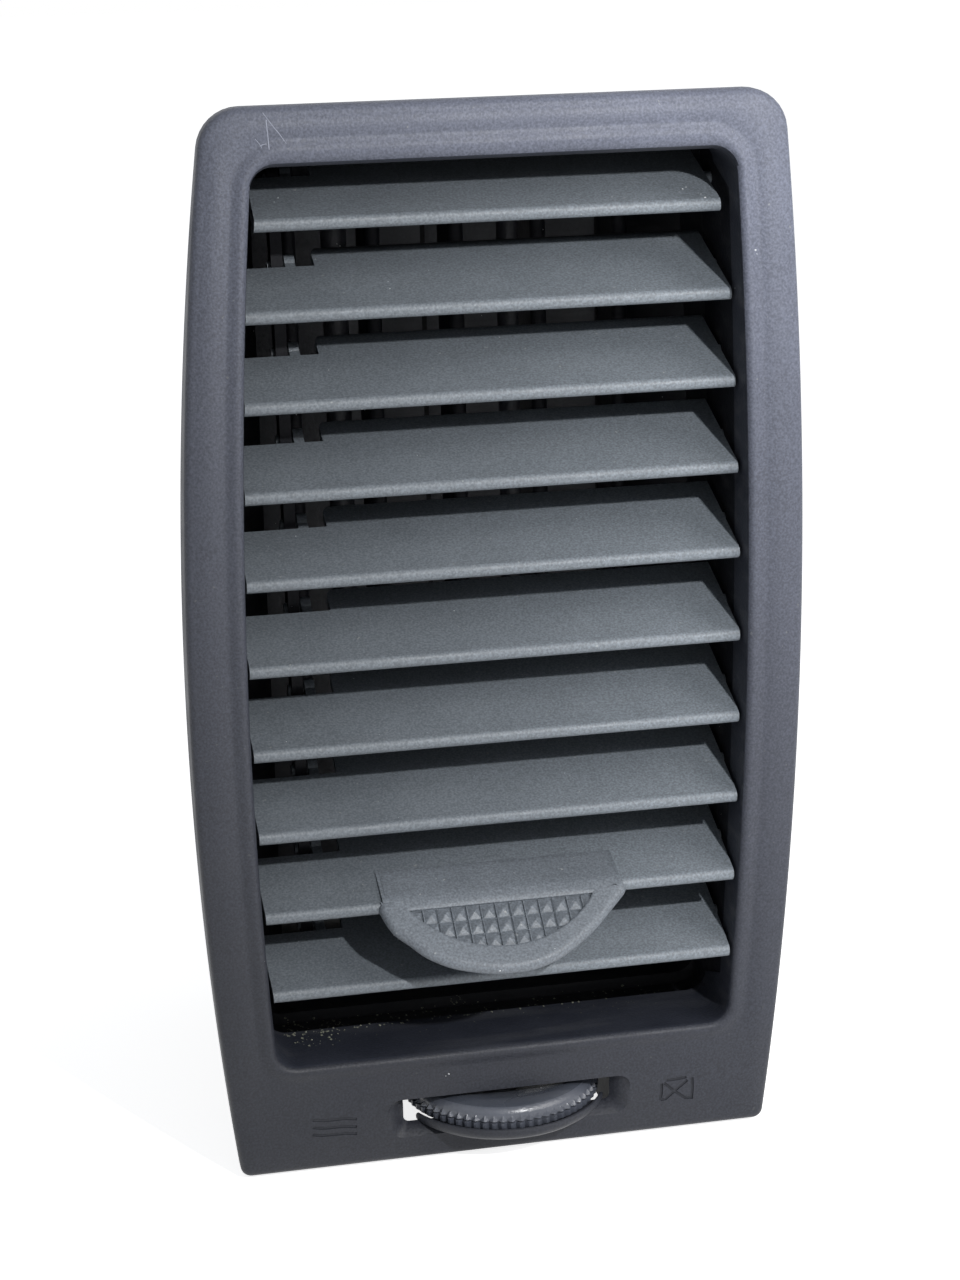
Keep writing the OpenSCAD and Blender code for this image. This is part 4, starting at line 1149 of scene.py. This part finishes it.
MATERIALS = {
    # Painted light on the bezel's face: lighter to the right and to the top.
    "bezel_plastic": moulded("bezel_plastic", (101, 105, 119), 0.5, grain=0.75, specks=0.3,
                             gloss=0.3, painted_light_gradient=(0.0073, 0.0095, -0.98)),
    # Painted shade in the grooves of the signs.
    "groove_painted_shade": moulded("groove_painted_shade", (42, 44, 50), 0.8, 0.4, 0.3),
    "lint": moulded("lint", (205, 208, 210), 0.8, 0.2, 0.2),
    "dirt": moulded("dirt", (122, 124, 110), 0.9, 0.2, 0.6),
    "scratch": moulded("scratch", (126, 130, 143), 0.6, 0.2, 0.2),
    "wheel_dish": moulded("wheel_dish", (62, 66, 75), 0.24, 0.6, 0.1, dust=0.05, coat=0.6),
    # Painted shade: the darker plastic for the faces inside the opening.
    "opening_painted_shade": moulded("opening_painted_shade", (36, 39, 48), 0.55, dust=0.2, gloss=0.3),
    "housing_plastic": moulded("housing_plastic", (30, 31, 35), 0.55, 0.8, 0.3, gloss=0.3),
    "rail_plastic": moulded("rail_plastic", (22, 23, 28), 0.6, 0.6, 0.3, gloss=0.12),
    # Painted light on the louvers, lighter to the right, and painted shade towards their rears.
    "louver_plastic": moulded("louver_plastic", (118, 125, 132), 0.5, grain=0.75, specks=0.5,
                              dust=0.2, painted_light_gradient=(0.0075, 0.0, -0.22), painted_shade_depth=(13.5, 14.8)),
    "tab_plastic": moulded("tab_plastic", (107, 113, 120), 0.5, grain=0.75, specks=0.5,
                           dust=0.2),
    "link_plastic": moulded("link_plastic", (20, 21, 26), 0.55, 0.7, 0.25, dust=0.05, gloss=0.12),
    "vane_plastic": moulded("vane_plastic", (20, 21, 26), 0.55, 0.6, 0.3, dust=0.05, gloss=0.12),
    "wheel_plastic": moulded("wheel_plastic", (74, 78, 88), 0.3, 0.5, 0.15, coat=0.3),
    "axle_steel": brushed("axle_steel", (205, 206, 210), 0.28),
    "screw_steel": brushed("screw_steel", (188, 189, 194)),
    "washer_rubber": moulded("washer_rubber", (62, 58, 54), 0.75, 0.9, 0.4),
    "damper_plastic": moulded("damper_plastic", (48, 50, 56), 0.5, 0.6, 0.3),
    "foam": moulded("foam", (26, 26, 28), 0.9, 1.1, 0.7),
    "clip_steel": brushed("clip_steel", (192, 192, 195), 0.36),
}


def give_material(obj, material):
    """Make the material the only one of the object."""
    obj.data.materials.clear()
    obj.data.materials.append(material)


slot_of = {p["node"]: p["material_slot"] for p in frame["record"]["subparts"]}
for node, obj in NODES.items():
    for index in range(max(1, len(obj.material_slots))):
        if not obj.material_slots:
            obj.data.materials.append(MATERIALS[slot_of[node]])
        obj.material_slots[index].material = MATERIALS[slot_of[node]]
for name, pieces in (("bezel_plastic", (bezel, rear_bosses)),
                     ("tab_plastic", (tab_top, tab_body, tab_knurl)),
                     # The slot's web takes the darkest plastic as painted shade, since lamp light
                     # reaches it.
                     ("rail_plastic", (slot_web,)), ("groove_painted_shade", (sign_shade_sheet,)),
                     ("scratch", (scratches,)), ("wheel_plastic", (wheel, wheel_pin)),
                     ("lint", pale_crumbs), ("dirt", dirt_crumbs)):
    for obj in pieces:
        give_material(obj, MATERIALS[name])

# Painted shade: the opening's inner faces, where shade falls, take a darker copy of the plastic.
# The wheel's dish has a darker, glossier material of its own.
bezel.data.materials.append(MATERIALS["opening_painted_shade"])
for face in bezel.data.polygons:
    x, y, z = face.center/MM
    if y < face_y(z) + 0.3 or not OPENING_BOTTOM - 0.6 < z < OPENING_TOP + LIP_R - 0.3:
        continue
    side = 0 if x < 0 else 1
    radius = arc_radius(OPENING_BULGES[side])
    wall = OPENING_HALF_W - radius + math.sqrt(radius**2 - (z - WIDEST[side])**2)
    if abs(x) < wall + 0.6:
        face.material_index = 1
DISH_R = 15.2
wheel.data.materials.append(MATERIALS["wheel_dish"])
for face in wheel.data.polygons:
    centre = face.center
    if centre.z > (WHEEL_TOP - 2.3)*MM and face.normal.z > 0.05 and math.hypot(
            centre.x - WHEEL_X*MM, centre.y - WHEEL_Y*MM) < DISH_R*MM:
        face.material_index = 1

# -------------------- floor and light

FLOOR_Z = cad_low.z - 0.5*MM
FLOOR_HALF = 3
floor = make_object("floor", [(x*FLOOR_HALF, y*FLOOR_HALF, FLOOR_Z)
                              for x, y in ((-1, -1), (1, -1), (1, 1), (-1, 1))],
                    [(0, 1, 2, 3)], body=None)


def seen_rays(tree):
    """1 for camera, glossy and transmission rays."""
    path = tree.nodes.new("ShaderNodeLightPath").outputs
    most = path["Is Camera Ray"]
    for name in ("Is Glossy Ray", "Is Transmission Ray"):
        most = add_node(tree, "Math", {0: most, 1: path[name]}, "Value", operation="MAXIMUM")
    return most


# White to the camera, with the object's shadow kept by the plain floor under it
floor_material, tree = node_material("floor")
fill(tree, tree.nodes["Principled BSDF"], {"Base Color": (0.9, 0.9, 0.9, 1), "Roughness": 0.95,
                                           "Specular IOR Level": 0.0})
share = add_node(tree, "Math", {0: seen_rays(tree), 1: 0.8}, "Value", operation="MULTIPLY")
white = add_node(tree, "Emission", {"Color": (1, 1, 1, 1), "Strength": share}, "Emission")
total = add_node(tree, "AddShader", {0: tree.nodes["Principled BSDF"].outputs["BSDF"],
                                     1: white}, "Shader")
fill(tree, tree.nodes["Material Output"], {"Surface": total})
give_material(floor, floor_material)

world = bpy.data.worlds.new("studio")
bpy.context.scene.world = world
world.use_nodes = True
tree = world.node_tree
fill(tree, tree.nodes["Background"], {"Color": (0.93, 0.96, 1.0, 1), "Strength": 0.3})
white = add_node(tree, "Background", {"Color": (1, 1, 1, 1), "Strength": 1.0}, "Background")
pick = add_node(tree, "MixShader", {"Fac": seen_rays(tree), 2: white,
                                    1: tree.nodes["Background"].outputs["Background"]},
                "Shader")
fill(tree, tree.nodes["World Output"], {"Surface": pick})


def lamp(kind, name, place_mm, size_mm, watts, colour=(1, 1, 1)):
    """A lamp that looks at the middle of the part."""
    data = bpy.data.lights.new(name, kind)
    if kind == "AREA":
        data.shape = "SQUARE"
        data.size = size_mm*MM
    else:
        data.shadow_soft_size = size_mm*MM
    data.energy = watts
    data.color = colour
    obj = bpy.data.objects.new(name, data)
    bpy.context.scene.collection.objects.link(obj)
    obj.location = Vector(place_mm)*MM
    obj.rotation_euler = (-obj.location).to_track_quat("-Z", "Y").to_euler()


# The key stands where the photo's shadows meet: above, in front and a little to the right
lamp("POINT", "key", (105, -325, 203), 6, 4.5)
lamp("AREA", "side", (430, -330, 330), 330, 1.6, (1.0, 0.98, 0.96))

bpy.context.scene.view_settings.view_transform = "Standard"

# -------------------- image points

POINTS = {
    "object_left": (184, None),
    "object_right": (804, None),
    "object_top": (None, 90),
    "object_bottom": (None, 1178),
    "corner_bottom_left": (252, 1178),
    "corner_bottom_right": (757, 1117),
    "rim_top_left": (252, 152),
    "rim_top_right": (742, 137),
    "rim_bottom_left": (279, 1068),
    "rim_bottom_right": (730, 1028),
    "louver_6_right": (741.5, 643),
    "louver_10_right": (727.5, 960),
    "tab_tip": (None, 974),
    "tab_left_root": (380, 913),
    "slot_top_left": (405, 1098),
    "slot_top_right": (613, 1077),
    "guard_low": (None, 1136),
    "open_sign": (334.5, 1127),
    "closed_sign": (676, 1089),
}


def shown_points(*objects):
    graph = bpy.context.evaluated_depsgraph_get()
    points = []
    for obj in objects:
        part = obj.evaluated_get(graph)
        points += [image_of(part.matrix_world @ v.co) for v in part.data.vertices]
    return points


def nearest(points, x, y):
    return min(points, key=lambda p: (p[0] - x)**2 + (p[1] - y)**2)


def middle(points):
    xs, ys = [p[0] for p in points], [p[1] for p in points]
    return (min(xs) + max(xs))/2, (min(ys) + max(ys))/2


bpy.context.view_layer.update()
bezel_points = shown_points(bezel)
sign_points = shown_points(sign_shade_sheet)
lip_points = [image_of(v.co) for v in bezel.data.vertices
              if -81.0 < v.co.z/MM < -78.5 and v.co.y/MM < -9.0]
shown = {
    "object_left": (min(p[0] for p in bezel_points), None),
    "object_right": (max(p[0] for p in bezel_points), None),
    "object_top": (None, min(p[1] for p in bezel_points)),
    "object_bottom": (None, max(p[1] for p in bezel_points)),
    "tab_tip": (None, max(p[1] for p in shown_points(tab_top))),
    "guard_low": (None, max(p[1] for p in lip_points)),
    "open_sign": middle([p for p in sign_points if p[0] < IMAGE_W/2]),
    "closed_sign": middle([p for p in sign_points if p[0] > IMAGE_W/2]),
    "tab_left_root": nearest(shown_points(tab_top), *POINTS["tab_left_root"]),
}
for number in (6, 10):
    name = "louver_%d_right" % number
    shown[name] = nearest(shown_points(NODES["louver_%d" % number]), *POINTS[name])
for name, (x, y) in POINTS.items():
    if name not in shown:
        shown[name] = nearest(bezel_points, x, y)
differences = {name: [None if a is None else round(b - a, 1) for a, b in zip(POINTS[name], at)]
               for name, at in shown.items()}
